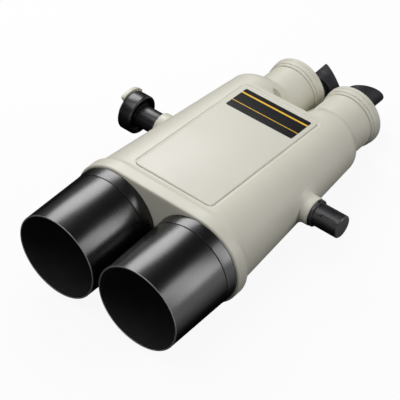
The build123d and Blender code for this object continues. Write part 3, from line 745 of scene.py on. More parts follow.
class Palette:
    """Every finish of the instrument."""

    def __init__(self) -> None:
        """Makes the materials once."""
        effects = Effects()
        # The body's cream is a touch yellower than the cover's: painted warm shade for the shaded
        # sides of the casting.
        enamel = Finish(
            "cream_enamel", (0.70, 0.684, 0.596), (0.66, 0.644, 0.556), (0.36, 0.44),
            cloud_scale=9.0, grain_scale=620.0, grain_depth=0.00002, specular=0.45,
        )
        # The cover copy keeps the plainer cream of the lit top; only its blue differs from the
        # body's.
        cover = replace(
            enamel, name="cover_enamel", colour=(0.70, 0.685, 0.607), second=(0.66, 0.645, 0.568)
        )
        self.enamel = enamel.make(effects)
        self.cover_enamel = cover.make(effects)
        self.lacquer = Finish(
            "hood_lacquer", (0.0022, 0.0022, 0.0027), (0.0032, 0.0032, 0.0037), (0.265, 0.285),
            cloud_scale=22.0, grain_scale=900.0, grain_depth=0.000003, specular=0.82,
        ).make(effects)
        self.ring_black = Finish(
            "ring_anodised", (0.0035, 0.0035, 0.0042), (0.006, 0.006, 0.007), (0.26, 0.30),
            cloud_scale=25.0, grain_depth=0.000004, rings=2600.0, ring_depth=0.000003,
            specular=0.82,
        ).make(effects)
        # Light grey paint on the hood's rounded rim: a painted highlight of the edge catching the
        # light.
        self.rim_painted_highlight = Finish(
            "hood_rim_painted_highlight", (0.40, 0.39, 0.44), (0.32, 0.31, 0.36), (0.34, 0.46),
            cloud_scale=60.0, metallic=0.6,
        ).make(effects)
        self.flat_black = Finish(
            "inner_flat_black", (0.022, 0.022, 0.023), (0.030, 0.030, 0.031), (0.8, 0.92),
            cloud_scale=30.0, rings=700.0, ring_depth=0.00004, specular=0.12,
        ).make(effects)
        self.black_alloy = Finish(
            "black_anodised", (0.012, 0.012, 0.014), (0.02, 0.02, 0.023), (0.35, 0.45),
            cloud_scale=30.0, rings=2200.0, rub_colour=(0.05, 0.05, 0.055),
        ).make(effects)
        self.journal = Finish(
            "blackened_journal", (0.0075, 0.0074, 0.010), (0.012, 0.0118, 0.0155), (0.30, 0.36),
            cloud_scale=40.0, rings=2400.0, ring_axis=0, ring_depth=0.000006,
            rub_colour=(0.035, 0.035, 0.041), specular=0.6,
        ).make(effects)
        self.knob = Finish(
            "knob_moulding", (0.004, 0.004, 0.0055), (0.007, 0.007, 0.009), (0.26, 0.32),
            cloud_scale=35.0, grain_scale=1200.0, grain_depth=0.00001, specular=0.7,
        ).make(effects)
        self.rubber = Finish(
            "eyecup_rubber", (0.0095, 0.009, 0.012), (0.015, 0.0145, 0.018), (0.55, 0.68),
            cloud_scale=45.0, grain_scale=1500.0, grain_depth=0.00012, specular=0.4, sheen=0.04,
        ).make(effects)
        self.plate = Finish(
            "plate_lacquer", (0.006, 0.006, 0.007), (0.009, 0.009, 0.011), (0.42, 0.5),
            cloud_scale=25.0, specular=0.16,
            stripes=((95.9, 1.9), (69.0, 0.75)), stripe_colour=(0.82, 0.50, 0.055),
        ).make(effects)
        self.gasket = Finish(
            "seal_rubber", (0.02, 0.02, 0.02), (0.03, 0.03, 0.03), (0.7, 0.85), grain_scale=1200.0
        ).make(effects)
        self.steel = Finish(
            "plain_steel", (0.5, 0.5, 0.52), (0.42, 0.42, 0.44), (0.28, 0.42), metallic=1.0
        ).make(effects)
        self.spring = Finish(
            "spring_steel", (0.22, 0.22, 0.24), (0.16, 0.16, 0.18), (0.35, 0.5), metallic=1.0
        ).make(effects)
        self.brass = Finish(
            "gear_brass", (0.62, 0.45, 0.19), (0.52, 0.37, 0.15), (0.3, 0.45), metallic=1.0
        ).make(effects)
        self.glass = Glass("optical_glass", (0.93, 0.97, 0.95), (0.75, 0.6, 0.95)).make()


@dataclass(frozen=True)
class Lens:
    """Lens with flat rims: their stations and widths, and how far each face bulges out."""

    front: float
    rear: float
    radius: float
    bulges: Pair
    rims: Pair
    face_steps: int = 16

    def outline(self) -> list[Corner]:
        """Draws half of its section.

        Returns:
            Its corners, from the middle of the front to the middle of the rear.
        """
        shares = [step / self.face_steps for step in range(self.face_steps + 1)]
        reaches = [self.radius - rim for rim in self.rims]
        front = [(self.front - self.bulges[0] * (1 - s * s), reaches[0] * s) for s in shares]
        rear = [(self.rear + self.bulges[1] * (1 - s * s), reaches[1] * s) for s in shares]
        return [*front, (self.front, self.radius), (self.rear, self.radius), *reversed(rear)]


@dataclass
class Assembly:
    """Pieces that belong together, and the finishes they get."""

    palette: Palette


@dataclass
class Paired(Assembly):
    """Sub-assembly that is built once for each side."""

    side: Side

    @property
    def word(self) -> str:
        """Side as it ends the names of pieces, bodies and nodes."""
        return self.side.word

    def axis(self, half: float, height: float) -> Lathe:
        """Lengthwise axis on this side, at a distance from the middle."""
        return Lathe.lengthwise(self.side.value * half, height)

    def turned(
        self, stem: str, lathe: Lathe, corners: Sequence[Corner], **options: int
    ) -> Piece:
        """Turns a piece that is named for this side; its options are those of spun."""
        return turn(f"{stem}_{self.word}", lathe, corners, **options)

    def fit(self, piece: Piece, body: str, slot: str, finish: Material | None, node: str) -> None:
        """Dresses a piece of this side.

        Args:
            piece: The object.
            body: The housing, or a body of this side without its last word.
            slot: Material slot of the record.
            finish: Material for all of it, or None where its faces have theirs.
            node: CAD node that it stands for, without its last word.
        """
        if body != "housing":
            body = f"{body}_{self.word}"
        fitted(piece, body, slot, finish, f"{node}_{self.word}")

    def glaze(self, stem: str, lathe: Lathe, lens: Lens, body: str) -> None:
        """Turns a lens and dresses it.

        Args:
            stem: First word of its name.
            lathe: Optical axis.
            lens: Its shape.
            body: The housing, or a body of this side without its last word.
        """
        options = {"closed": False, "steps": COARSE_STEPS}
        piece = self.turned(f"{stem}_glass", lathe, lens.outline(), **options)
        self.fit(piece, body, "optical_glass", self.palette.glass, f"{stem}_lens")


@dataclass(frozen=True)
class Slab:
    """Rounded slab on the sloping top, with heights above it and its middle along it."""

    width: float
    length: float
    middle: float
    low: float
    high: float
    corner: float
    edge: float = 0.0
    foot: float = 0.0
    corner_steps: int = 10
    edge_steps: int = 4
    foot_steps: int = 6

    def make(self, name: str) -> Piece:
        """Models the slab.

        Args:
            name: Name of the piece.

        Returns:
            The slab, with its place in its mesh.
        """
        low, high = self.low, self.high
        bench = Bench(name)
        bench.cube((self.width, self.length, high - low), (0, self.middle, (high + low) / 2))
        bench.pick_edges(lambda a, b: abs(a.z - b.z) > NEAR)
        bench.bevel(self.corner, self.corner_steps)
        if self.edge > 0:
            bench.pick_edges(lambda a, b: min(a.z, b.z) > high - NEAR)
            bench.bevel(self.edge, self.edge_steps)
        if self.foot > 0:
            bench.pick_edges(lambda a, b: max(a.z, b.z) < low + NEAR)
            bench.bevel(self.foot, self.foot_steps)
        return tilted(bench.done(), -TOP_SLOPE, TOP_HEIGHT)


@dataclass(frozen=True)
class Section:
    """Round-ended section across the housing."""

    y: float
    half: float
    radius: float
    rise: float = 0.0

    @property
    def height(self) -> float:
        """Height of the section's middle."""
        return OPTICAL_HEIGHT + self.rise


@dataclass
class Housing(Assembly):
    """Cast body with its collar, barrels, bosses and skids."""

    front_face: float = -200.6
    collar_end: float = -181.0
    collar_radius: float = 81.0
    collar_round: float = 3.0
    round_steps: int = 4
    shell_front: float = -169.0
    shell_rear: float = 131.0
    shell_stations: tuple[float, ...] = tuple(range(-150, 121, 30))
    front_half: float = 78.4
    rear_half: float = 72.0
    front_radius: float = 74.5
    rear_radius: float = 59.8
    front_rise: float = 3.2
    rear_rise: float = 2.5
    swell_steps: int = 8
    wall: float = 5.0
    cavity_front: float = -184.0
    cavity_rear: float = 122.0
    cavity_stations: tuple[float, ...] = tuple(range(-150, 91, 60))
    haunch_stations: tuple[float, ...] = (137.0, 143.0)
    haunch_start: float = 149.0
    neck_end: float = 185.0
    neck_steps: int = 9
    barrel_stations: tuple[float, ...] = (188.0, 210.0)
    neck_power: float = 1.55
    barrel_end: float = 233.6
    barrel_edge: float = 0.9
    barrel_radius: float = 50.4
    brow_half: float = 49.0
    brow_round: float = 2.5
    round_segments: int = 4
    boss: Outline = (
        (122.0, 0.0), (122.0, 36.0), (130.0, 36.0), (141.5, 24.0, 14.0), (157.0, 24.0, 1.2),
        (157.0, 0.0),
    )
    hollow_place: Triple = (29.5, 151.0, 132.5)
    hollow_length: float = 6.5
    hollow_radius: float = 13.5
    hollow_steps: int = 12
    skid_size: Triple = (26.0, 280.0, 70.0)
    skid_place: Triple = (48.0, -20.0, 35.0)
    skid_round: float = 4.0
    skid_edge: float = 1.0
    bridge_size: Triple = (96.0, 60.0, 60.0)
    bridge_place: Triple = (0.0, 0.0, 30.0)
    web_size: Triple = (60.0, 64.0, 44.0)
    web_place: Triple = (0.0, 153.0, 59.1)
    web_round: float = 6.0
    overrun: float = 5.0
    front_bore: float = 70.05
    barrel_bore: float = 35.04
    boss_bore: float = 14.05
    boss_bore_ends: Pair = (128.0, 160.0)
    land: Slab = Slab(159.4, 287.4, -21.3, -1.1, 8.0, 11.0, foot=2.4)
    rebate: Slab = Slab(148.6, 283.75, -24.8, -2.0, 8.0, 7.5)
    opening: Slab = Slab(112.0, 264.6, -24.3, -12.0, 8.0, 7.0)
    middle_cuts: int = 11
    crease: float = 30.0

    def tapered(self, y: float, wall: float = 0.0) -> Section:
        """Section of the evenly tapering shell.

        Args:
            y: Station.
            wall: How far the section is drawn in.

        Returns:
            The section.
        """
        share = (y - self.shell_front) / (self.shell_rear - self.shell_front)
        return Section(
            y,
            blend(self.front_half, self.rear_half, share),
            blend(self.front_radius, self.rear_radius, share) - wall,
            blend(self.front_rise, self.rear_rise, share),
        )

    def _outer_sections(self) -> list[Section]:
        """Lays out the outside.

        Returns:
            Its sections, from the collar to the end of the platform.
        """
        sections = []
        for step in range(self.round_steps + 1):
            angle = math.pi / 2 * step / self.round_steps
            y = self.front_face + self.collar_round * (1 - math.cos(angle))
            radius = self.collar_radius - self.collar_round * (1 - math.sin(angle))
            sections.append(Section(y, OBJECTIVE_HALF, radius))
        end = self.tapered(self.shell_front)
        for step in range(self.swell_steps + 1):
            share = step / self.swell_steps
            ease = share * share * (3 - 2 * share)
            section = Section(
                blend(self.collar_end, end.y, share),
                blend(OBJECTIVE_HALF, end.half, ease),
                blend(self.collar_radius, end.radius, ease),
                blend(0.0, end.rise, ease),
            )
            sections.append(section)
        stations = (*self.shell_stations, self.shell_rear)
        return sections + [self.tapered(y) for y in stations]

    def _ring(self, bench: Bench, first: Section) -> None:
        """Draws a section as a closed ring of edges.

        Args:
            bench: The bench, whose mesh is cleared.
            first: The section.
        """
        bench.everything()
        bpy.ops.mesh.delete(type="VERT")
        for side in Side:
            bpy.ops.mesh.primitive_circle_add(
                vertices=COARSE_STEPS,
                radius=first.radius * MM,
                location=Vector((side.value * first.half, first.y, first.height)) * MM,
                rotation=(math.pi / 2, 0, 0),
            )
        bench.pick(lambda place: abs(place.x) < first.half - NEAR)
        bpy.ops.mesh.delete(type="VERT")
        for level in (1, -1):
            edge = first.height + level * first.radius
            bench.pick(lambda place: abs(place.z - edge) < NEAR).fill()
            bpy.ops.mesh.subdivide(number_cuts=self.middle_cuts)

    def _grow(self, bench: Bench, old: Section, new: Section) -> None:
        """Extrudes the selected ring from one section to the next.

        Args:
            bench: The bench.
            old: The ring's section.
            new: The section that follows.
        """
        bench.extrude((0, new.y - old.y, 0))
        inside = old.half - LOOSE
        lift = new.height - old.height
        for level in (1, -1):
            bench.pick(
                lambda place: abs(place.y - new.y) < NEAR
                and abs(place.x) < inside
                and (place.z - old.height) * level > 0
            )
            bench.resize((new.half / old.half, 1, 1), (0, new.y, new.height))
            bench.move((0, 0, lift + level * (new.radius - old.radius)))
        factor = new.radius / old.radius
        for sign in (1, -1):
            bench.pick(lambda place: abs(place.y - new.y) < NEAR and place.x * sign > inside)
            bench.resize((factor, 1, factor), (sign * old.half, new.y, old.height))
            bench.move((sign * (new.half - old.half), 0, lift))
        bench.pick(lambda place: abs(place.y - new.y) < NEAR)

    def _lofted(self, name: str, sections: Sequence[Section]) -> Bench:
        """Extrudes a ring through sections and closes its front.

        Args:
            name: Name of the piece.
            sections: The sections, from the front.

        Returns:
            The bench, with its rear open.
        """
        bench = Bench(name).draw([Vector()], closed=False)
        self._ring(bench, sections[0])
        bench.everything()
        for old, new in zip(sections, sections[1:]):
            self._grow(bench, old, new)
        return bench.pick(lambda place: abs(place.y - sections[0].y) < NEAR).fill()

    def _barrel(self, bench: Bench, end: Section, sign: int) -> None:
        """Carries one side of the shell back into its round barrel.

        Args:
            bench: The bench.
            end: The shell's last section.
            sign: Sign of the side's X.
        """
        centre = Vector((sign * end.half, end.y, end.height))

        def on_rim(place: Vector) -> bool:
            """Tells whether a vertex is on the round of the last section."""
            away = math.hypot(place.x - centre.x, place.z - centre.z)
            return abs(place.y - end.y) < NEAR and abs(away - end.radius) < 2 * NEAR

        bench.pick(lambda place: on_rim(place) and place.x * sign > end.half - LOOSE)
        bpy.ops.mesh.duplicate()
        bench.resize((-1, 1, 1), centre).merge().pick(on_rim)
        start, neck = self.haunch_start, self.neck_end
        shares = [step / self.neck_steps for step in range(self.neck_steps + 1)]
        stations = [*self.haunch_stations, *(blend(start, neck, share) for share in shares)]
        radius = end.radius
        for y in (*stations, *self.barrel_stations, self.barrel_end - self.barrel_edge):
            drawn = min(max((y - start) / (neck - start), 0), 1) ** self.neck_power
            shell = self.tapered(y)
            middle = Vector((sign * shell.half, y, shell.height))
            middle = middle.lerp(Vector((sign * TURRET_HALF, y, TURRET_HEIGHT)), drawn)
            size = blend(shell.radius, self.barrel_radius, drawn)
            bench.extrude(middle - centre)
            bench.resize((size / radius, 1, size / radius), middle)
            centre, radius = middle, size
        back = Vector((0, self.barrel_edge, 0))
        factor = (radius - self.barrel_edge) / radius
        bench.extrude(back).resize((factor, 1, factor), centre + back).fill()

    def _outside(self) -> Piece:
        """Models collar, shell and barrels.

        Returns:
            One closed mesh.
        """
        sections = self._outer_sections()
        end = sections[-1]
        bench = self._lofted("housing_shell", sections)
        for side in Side:
            self._barrel(bench, end, side.value)
        bench.pick(lambda place: abs(place.y - end.y) < NEAR and abs(place.x) < end.half + LOOSE)
        bench.fill().weld()
        brow = end.height + end.radius
        bench.pick_edges(
            lambda a, b: min(a.z, b.z) > brow - LOOSE
            and abs(a.y - end.y) + abs(b.y - end.y) < LOOSE
            and max(abs(a.x), abs(b.x)) < self.brow_half
        )
        return bench.bevel(self.brow_round, self.round_segments).done()

    def _cavity(self) -> Piece:
        """Models the hollow of the shell.

        Returns:
            The tool that cuts it.
        """
        stations = (self.cavity_front, *self.cavity_stations, self.cavity_rear)
        bench = self._lofted("cavity", [self.tapered(y, self.wall) for y in stations])
        bench.pick(lambda place: abs(place.y - self.cavity_rear) < NEAR).fill()
        return bench.weld().done()

    def _boss(self, side: Side) -> Piece:
        """Round boss that carries a trunnion, as a tool."""
        name, lathe = f"boss_{side.word}", Lathe.crosswise(side)
        return turn(name, lathe, self.boss, closed=False, steps=COARSE_STEPS)

    def _hollow(self, side: Side) -> Piece:
        """Models the hollow between the brow and the inner side of a barrel.

        Args:
            side: The barrel's side.

        Returns:
            The tool that cuts it.
        """
        across, along, height = self.hollow_place
        corners = []
        for step in range(self.hollow_steps + 1):
            angle = math.pi * step / self.hollow_steps
            station = along - self.hollow_length * math.cos(angle)
            corners.append((station, self.hollow_radius * math.sin(angle)))
        lathe = Lathe.lengthwise(side.value * across, height)
        return turn(f"hollow_{side.word}", lathe, corners, closed=False, steps=COARSE_STEPS // 2)

    def _skid(self, size: Triple, centre: Triple) -> Piece:
        """Block under the shell with rounded upright edges, as a tool.

        Args:
            size: Its size.
            centre: Its place.

        Returns:
            The tool.
        """
        bench = Bench("skid").cube(size, centre)
        bench.pick_edges(lambda a, b: abs(a.z - b.z) > 1).bevel(self.skid_round, 5)
        return bench.pick(lambda place: place.z < NEAR).bevel(self.skid_edge, 2).done()

    def _added(self) -> Iterator[Piece]:
        """Models the tools that are added to the shell.

        Yields:
            One tool after the other.
        """
        x, y, z = self.skid_place
        for side in Side:
            yield self._boss(side)
            yield self._skid(self.skid_size, (side.value * x, y, z))
        yield self._skid(self.bridge_size, self.bridge_place)
        web = Bench("web").cube(self.web_size, self.web_place)
        web.pick_edges(lambda a, b: min(a.y, b.y) > self.web_place[1])
        yield web.bevel(self.web_round, self.round_segments).done()

    def _cut(self) -> Iterator[Piece]:
        """Models the tools that are cut from the casting.

        Yields:
            One tool after the other.
        """
        over = self.overrun
        yield self._cavity()
        for side in Side:
            yield self._hollow(side)
            lathe = Lathe.lengthwise(side.value * OBJECTIVE_HALF, OPTICAL_HEIGHT)
            ends = self.front_face - over, self.cavity_front + over
            yield plug("front_bore", lathe, *ends, self.front_bore)
            lathe = Lathe.lengthwise(side.value * TURRET_HALF, TURRET_HEIGHT)
            ends = self.cavity_rear - over, self.barrel_end + over
            yield plug("barrel_bore", lathe, *ends, self.barrel_bore)
            yield plug("boss_bore", Lathe.crosswise(side), *self.boss_bore_ends, self.boss_bore)
        yield self.land.make("land")
        yield self.rebate.make("rebate")
        yield self.opening.make("opening")

    def dress(self) -> None:
        """Builds the casting and puts it on the frame."""
        body = self._outside()
        for tool in self._added():
            combined(body, tool, Join.ADD)
        for tool in self._cut():
            combined(body, tool, Join.CUT)
        shaded(body, self.crease)
        fitted(body, "housing", "cream_enamel", self.palette.enamel, "main_housing")


@dataclass
class TopPanel(Assembly):
    """Cover on the sloping top, and the plate on the cover."""

    cover: Slab = Slab(148.0, 282.6, -24.3, -1.4, 1.4, 7.0, 2.3)
    plate: Slab = Slab(131.6, 56.0, 79.8, 1.4, 2.2, 2.5, 0.25)

    def dress(self) -> None:
        """Builds the cover and plate and puts them on the frame."""
        cover = self.cover.make("cover_panel")
        fitted(cover, "housing", "cream_enamel", self.palette.cover_enamel, "top_cover")
        plate = self.plate.make("bare_plate")
        fitted(plate, "housing", "black_plate", self.palette.plate, "nameplate")


@dataclass
class Objective(Paired):
    """One objective end: hood, cell, glass, retainer and baffle."""

    hood: Outline = (
        (-338.3, 71.6, 0.5), (-338.3, 74.0, 0.8), (-223.0, 76.0, 0.4), (-222.0, 74.4),
        (-222.0, 72.04), (-248.5, 72.04), (-248.5, 71.0, 0.4), (-329.1, 71.0, 0.2),
        (-329.7, 70.5, 0.2), (-330.3, 71.0, 0.2), (-335.3, 71.0, 0.2), (-335.3, 71.6),
    )
    rim_end: float = -337.55
    cell: Outline = (
        (-248.0, 68.0, 0.4), (-248.0, 72.0, 0.6), (-222.0, 72.0), (-222.0, 74.4),
        (-221.2, 76.0, 0.3), (-201.8, 77.4, 0.5), (-200.6, 76.6), (-200.6, 70.0),
        (-184.02, 70.0), (-184.02, 60.0), (-191.42, 60.0), (-191.42, 64.05),
        (-210.42, 64.05), (-210.42, 68.0),
    )
    cell_inside: float = 70.5
    retainer: Outline = (
        (-210.42, 59.0, 0.8), (-210.42, 64.0, 0.5), (-205.42, 64.0), (-205.42, 59.0),
    )
    crown: Lens = Lens(-205.42, -199.42, 64.0, (7.0, 5.0), (5.0, 2.0))
    flint: Lens = Lens(-199.42, -191.42, 64.0, (-5.1, 2.0), (2.0, 4.0))
    baffle: Outline = (
        (-184.02, 60.0), (-184.02, 66.0), (-181.02, 66.0), (-181.02, 61.5),
        (55.95, 29.5), (55.95, 28.0),
    )

    @property
    def lathe(self) -> Lathe:
        """Optical axis of this side."""
        return self.axis(OBJECTIVE_HALF, OPTICAL_HEIGHT)

    def _hood(self) -> None:
        """Builds the hood: lacquered outside, rim painted light grey as a painted highlight of its
        rounded edge, ridged flat black inside.
        """
        hood = self.turned("hood", self.lathe, self.hood, steps=FINE_STEPS)
        for finish in (self.palette.lacquer, self.palette.flat_black, self.palette.rim_painted_highlight):
            hood.data.materials.append(finish)
        x, _, z = self.lathe.base

        def inward(centre: Vector, normal: Vector) -> bool:
            """Tells whether a face looks at the axis."""
            return (centre.x - x) * normal.x + (centre.z - z) * normal.z < -1

        paint_faces(hood, 1, inward)
        # The rounded rim faces take the light grey paint that stands in for the edge's highlight.
        paint_faces(hood, 2, lambda centre, normal: centre.y < self.rim_end)
        self.fit(hood, "hood", "hood_black", None, "lens_hood")

    def _cell(self) -> None:
        """Builds the cell with the ring that shows between hood and housing."""
        cell = self.turned("cell", self.lathe, self.cell, steps=FINE_STEPS)
        cell.data.materials.append(self.palette.ring_black)
        cell.data.materials.append(self.palette.flat_black)
        paint_faces(cell, 1, lambda centre, normal: self.lathe.away(centre) < self.cell_inside)
        self.fit(cell, "housing", "black_alloy", None, "objective_cell")

    def dress(self) -> None:
        """Builds this side's pieces and puts them on the frame."""
        lathe, palette = self.lathe, self.palette
        self._hood()
        self._cell()
        retainer = self.turned("retainer", lathe, self.retainer)
        self.fit(retainer, "housing", "black_alloy", palette.black_alloy, "lens_retainer")
        self.glaze("crown", lathe, self.crown, "housing")
        self.glaze("flint", lathe, self.flint, "housing")
        baffle = self.turned("baffle", lathe, self.baffle)
        self.fit(baffle, "housing", "black_alloy", palette.flat_black, "baffle_tube")


@dataclass
class Turret(Paired):
    """One turning drum with its cap and the eyepiece's mount."""

    base: Outline = (
        (106.95, 27.0), (106.95, 31.0), (121.95, 31.0), (121.95, 35.0), (233.65, 35.0),
        (233.65, 51.2), (234.75, 52.5, 0.5), (239.25, 52.5, 0.3), (239.65, 52.0),
        (239.65, 47.5), (236.65, 47.5), (236.65, 8.0), (233.65, 8.0), (233.65, 27.0),
    )
    cap: Outline = (
        (239.65, 50.0), (239.65, 53.2), (240.25, 53.8, 0.3), (247.65, 53.8, 0.4),
        (248.85, 55.0, 0.8), (258.45, 55.0, 4.4), (258.45, 0.0), (253.65, 0.0),
        (253.65, 50.0), (239.65, 50.0),
    )
    eye_hole: Triple = (248.45, 263.45, 19.05)
    mount: Outline = (
        (254.15, 16.04), (254.15, 19.0), (258.45, 19.0), (258.45, 22.0), (262.45, 22.0, 0.7),
        (262.45, 19.0), (277.45, 19.0, 0.5), (277.45, 16.04, 0.3),
    )

    def dress(self) -> None:
        """Builds the drum and puts it on the frame."""
        lathe = self.axis(TURRET_HALF, TURRET_HEIGHT)
        eye_lathe = self.axis(EYEPIECE_HALF, EYEPIECE_HEIGHT)
        base = self.turned("drum_base", lathe, self.base)
        self.fit(base, "turret", "cream_enamel", self.palette.enamel, "turret_base")
        cap = self.turned("drum_cap", lathe, self.cap, closed=False)
        shaded(combined(cap, plug("eye_hole", eye_lathe, *self.eye_hole), Join.CUT))
        self.fit(cap, "turret", "cream_enamel", self.palette.enamel, "turret_cap")
        mount = self.turned("eye_mount", eye_lathe, self.mount)
        self.fit(mount, "turret", "black_alloy", self.palette.black_alloy, "eyepiece_mount")


@dataclass
class Eyepiece(Paired):
    """One eyepiece: focus ring, sliding barrel with its glass, and winged cup."""

    ring_front: float = 262.5
    ring_end: float = 276.5
    ring_bore: float = 19.04
    ring_radius: float = 22.5
    ring_round: float = 0.8
    flutes: int = 24
    flute: float = 1.2
    flute_inset: float = 2.2
    flute_round: float = 0.4
    flute_steps: int = 24
    barrel: Outline = (
        (257.15, 14.75), (257.15, 16.0), (281.45, 16.0), (281.45, 19.0, 0.5),
        (302.45, 19.0, 0.5), (302.45, 15.05, 0.4), (292.95, 15.05), (292.95, 13.5),
        (264.75, 13.5), (264.75, 14.75),
    )
    eye_lens: Lens = Lens(292.95, 297.95, 15.0, (1.2, 1.2), (1.5, 2.0))
    field_lens: Lens = Lens(258.75, 264.75, 14.7, (1.5, 1.5), (1.2, 1.2))
    lens_ring: Outline = (
        (297.95, 13.0), (297.95, 15.0), (300.45, 15.0, 0.3), (300.45, 13.0, 0.5),
    )
    head_end: float = 302.45
    cup_front: float = 283.45
    cup_bore: float = 19.04
    cup_wall: float = 2.6
    cup_trim: float = 3.0
    cup_edge: float = 0.8
    cup_crease: float = 40.0
    root_radius: float = 26.5
    root_round: float = 1.5
    ribs: int = 3
    rib_start: float = 4.0
    rib_pitch: float = 4.6
    rib_depth: float = 0.9
    rib_crest: float = 0.3
    rib_foot: float = 0.2
    flare_front: float = 305.25
    flare_radius: float = 27.3
    flare_round: float = 6.0
    nose_rim: float = 308.25
    wing_rim: float = 351.75
    wing_radius: float = 28.2
    wing_drop: float = 36.0

    @property
    def lathe(self) -> Lathe:
        """Axis of the eyepiece."""
        return self.axis(EYEPIECE_HALF, EYEPIECE_HEIGHT)

    @property
    def flare_rise(self) -> float:
        """How much the cup widens along its flare."""
        return (self.wing_radius - self.flare_radius) / (self.wing_rim - self.flare_front)

    def _flutes(self) -> Piece:
        """Models a ring of round bars.

        Returns:
            The tool that cuts the focus ring's grip.
        """
        x, y, z = self.lathe.base
        start, end = self.ring_front + self.flute_inset, self.ring_end - self.flute_inset
        bar = (
            (start, 0.0), (start, self.flute, self.flute_round),
            (end, self.flute, self.flute_round), (end, 0.0),
        )
        lathe = Lathe((x, y, z + self.ring_radius), self.lathe.along)
        bench = spun("flutes", lathe, bar, closed=False, steps=self.flute_steps).everything()
        bpy.ops.mesh.spin(
            steps=self.flutes - 1,
            dupli=True,
            angle=math.tau * (self.flutes - 1) / self.flutes,
            center=self.lathe.at(0, 0),
            axis=Vector(self.lathe.along),
        )
        return bench.done()

    def _focus_ring(self) -> None:
        """Builds the fluted ring that is turned to focus."""
        front, end, bore = self.ring_front, self.ring_end, self.ring_bore
        corners = (
            (front, bore), (front, self.ring_radius, self.ring_round),
            (end, self.ring_radius, self.ring_round), (end, bore),
        )
        ring = self.turned("focusing_ring", self.lathe, corners, steps=COARSE_STEPS)
        shaded(combined(ring, self._flutes(), Join.CUT))
        self.fit(ring, "focus", "black_alloy", self.palette.black_alloy, "focus_ring")

    def _barrel(self) -> None:
        """Builds the sliding tube and its head, with its glass and retaining ring."""
        black = self.palette.black_alloy
        barrel = self.turned("eye_barrel", self.lathe, self.barrel)
        self.fit(barrel, "barrel", "black_alloy", black, "eyepiece_barrel")
        self.glaze("eye", self.lathe, self.eye_lens, "barrel")
        self.glaze("field", self.lathe, self.field_lens, "barrel")
        ring = self.turned("eye_ring", self.lathe, self.lens_ring)
        self.fit(ring, "barrel", "black_alloy", black, "eye_lens_ring")

    def _cup_outline(self) -> list[Corner]:
        """Draws the cup before it is cut slanting, with the ribs at its root.

        Returns:
            Its corners.
        """
        front, root, step = self.cup_front, self.root_radius, self.rib_depth
        crest, foot = self.rib_crest, self.rib_foot
        corners: list[Corner] = [(front, self.cup_bore), (front, root, self.root_round)]
        for rib in range(self.ribs):
            start = front + self.rib_start + self.rib_pitch * rib
            corners += [
                (start, root, crest), (start + step, root - step, foot),
                (start + 2 * step, root - step, foot), (start + 3 * step, root, crest),
            ]
        end = self.wing_rim + self.cup_trim
        blank_radius = self.wing_radius + self.flare_rise * self.cup_trim
        inner = self.flare_radius - self.cup_wall
        return corners + [
            (self.flare_front, self.flare_radius, self.flare_round),
            (end, blank_radius), (end, blank_radius - self.cup_wall),
            (self.flare_front, inner), (self.head_end, inner), (self.head_end, self.cup_bore),
        ]

    def _cup(self) -> None:
        """Builds the soft cup, cut slanting to a wing on the temple side."""
        drop = math.radians(self.wing_drop)
        wing = Vector((self.side.value * math.cos(drop), 0, -math.sin(drop)))
        nose = self.flare_radius + self.flare_rise * (self.nose_rim - self.flare_front)
        across = Vector((0, nose + self.wing_radius, 0))
        slope = (across - wing * (self.wing_rim - self.nose_rim)).normalized()
        x, _, z = self.lathe.base
        start = Vector((x, self.nose_rim, z)) - wing * nose

        def on_rim(place: Vector) -> bool:
            """Tells whether a place is on the slanting cut."""
            return abs((place - start).dot(slope)) < NEAR

        def along_rim(a: Vector, b: Vector) -> bool:
            """Tells whether an edge runs round the cut and not across the wall."""
            step = abs(self.lathe.away(a) - self.lathe.away(b))
            return on_rim(a) and on_rim(b) and step < self.cup_wall / 2

        bench = spun(f"cup_{self.word}", self.lathe, self._cup_outline()).everything()
        bpy.ops.mesh.bisect(plane_co=start * MM, plane_no=slope, clear_outer=True)
        bench.pick(on_rim)
        bpy.ops.mesh.bridge_edge_loops()
        bench.weld().pick_edges(along_rim).bevel(self.cup_edge, 3)
        cup = bench.done(self.cup_crease)
        self.fit(cup, "cup", "eyecup_rubber", self.palette.rubber, "eyecup")

    def dress(self) -> None:
        """Builds the eyepiece and puts it on the frame."""
        self._focus_ring()
        self._barrel()
        self._cup()


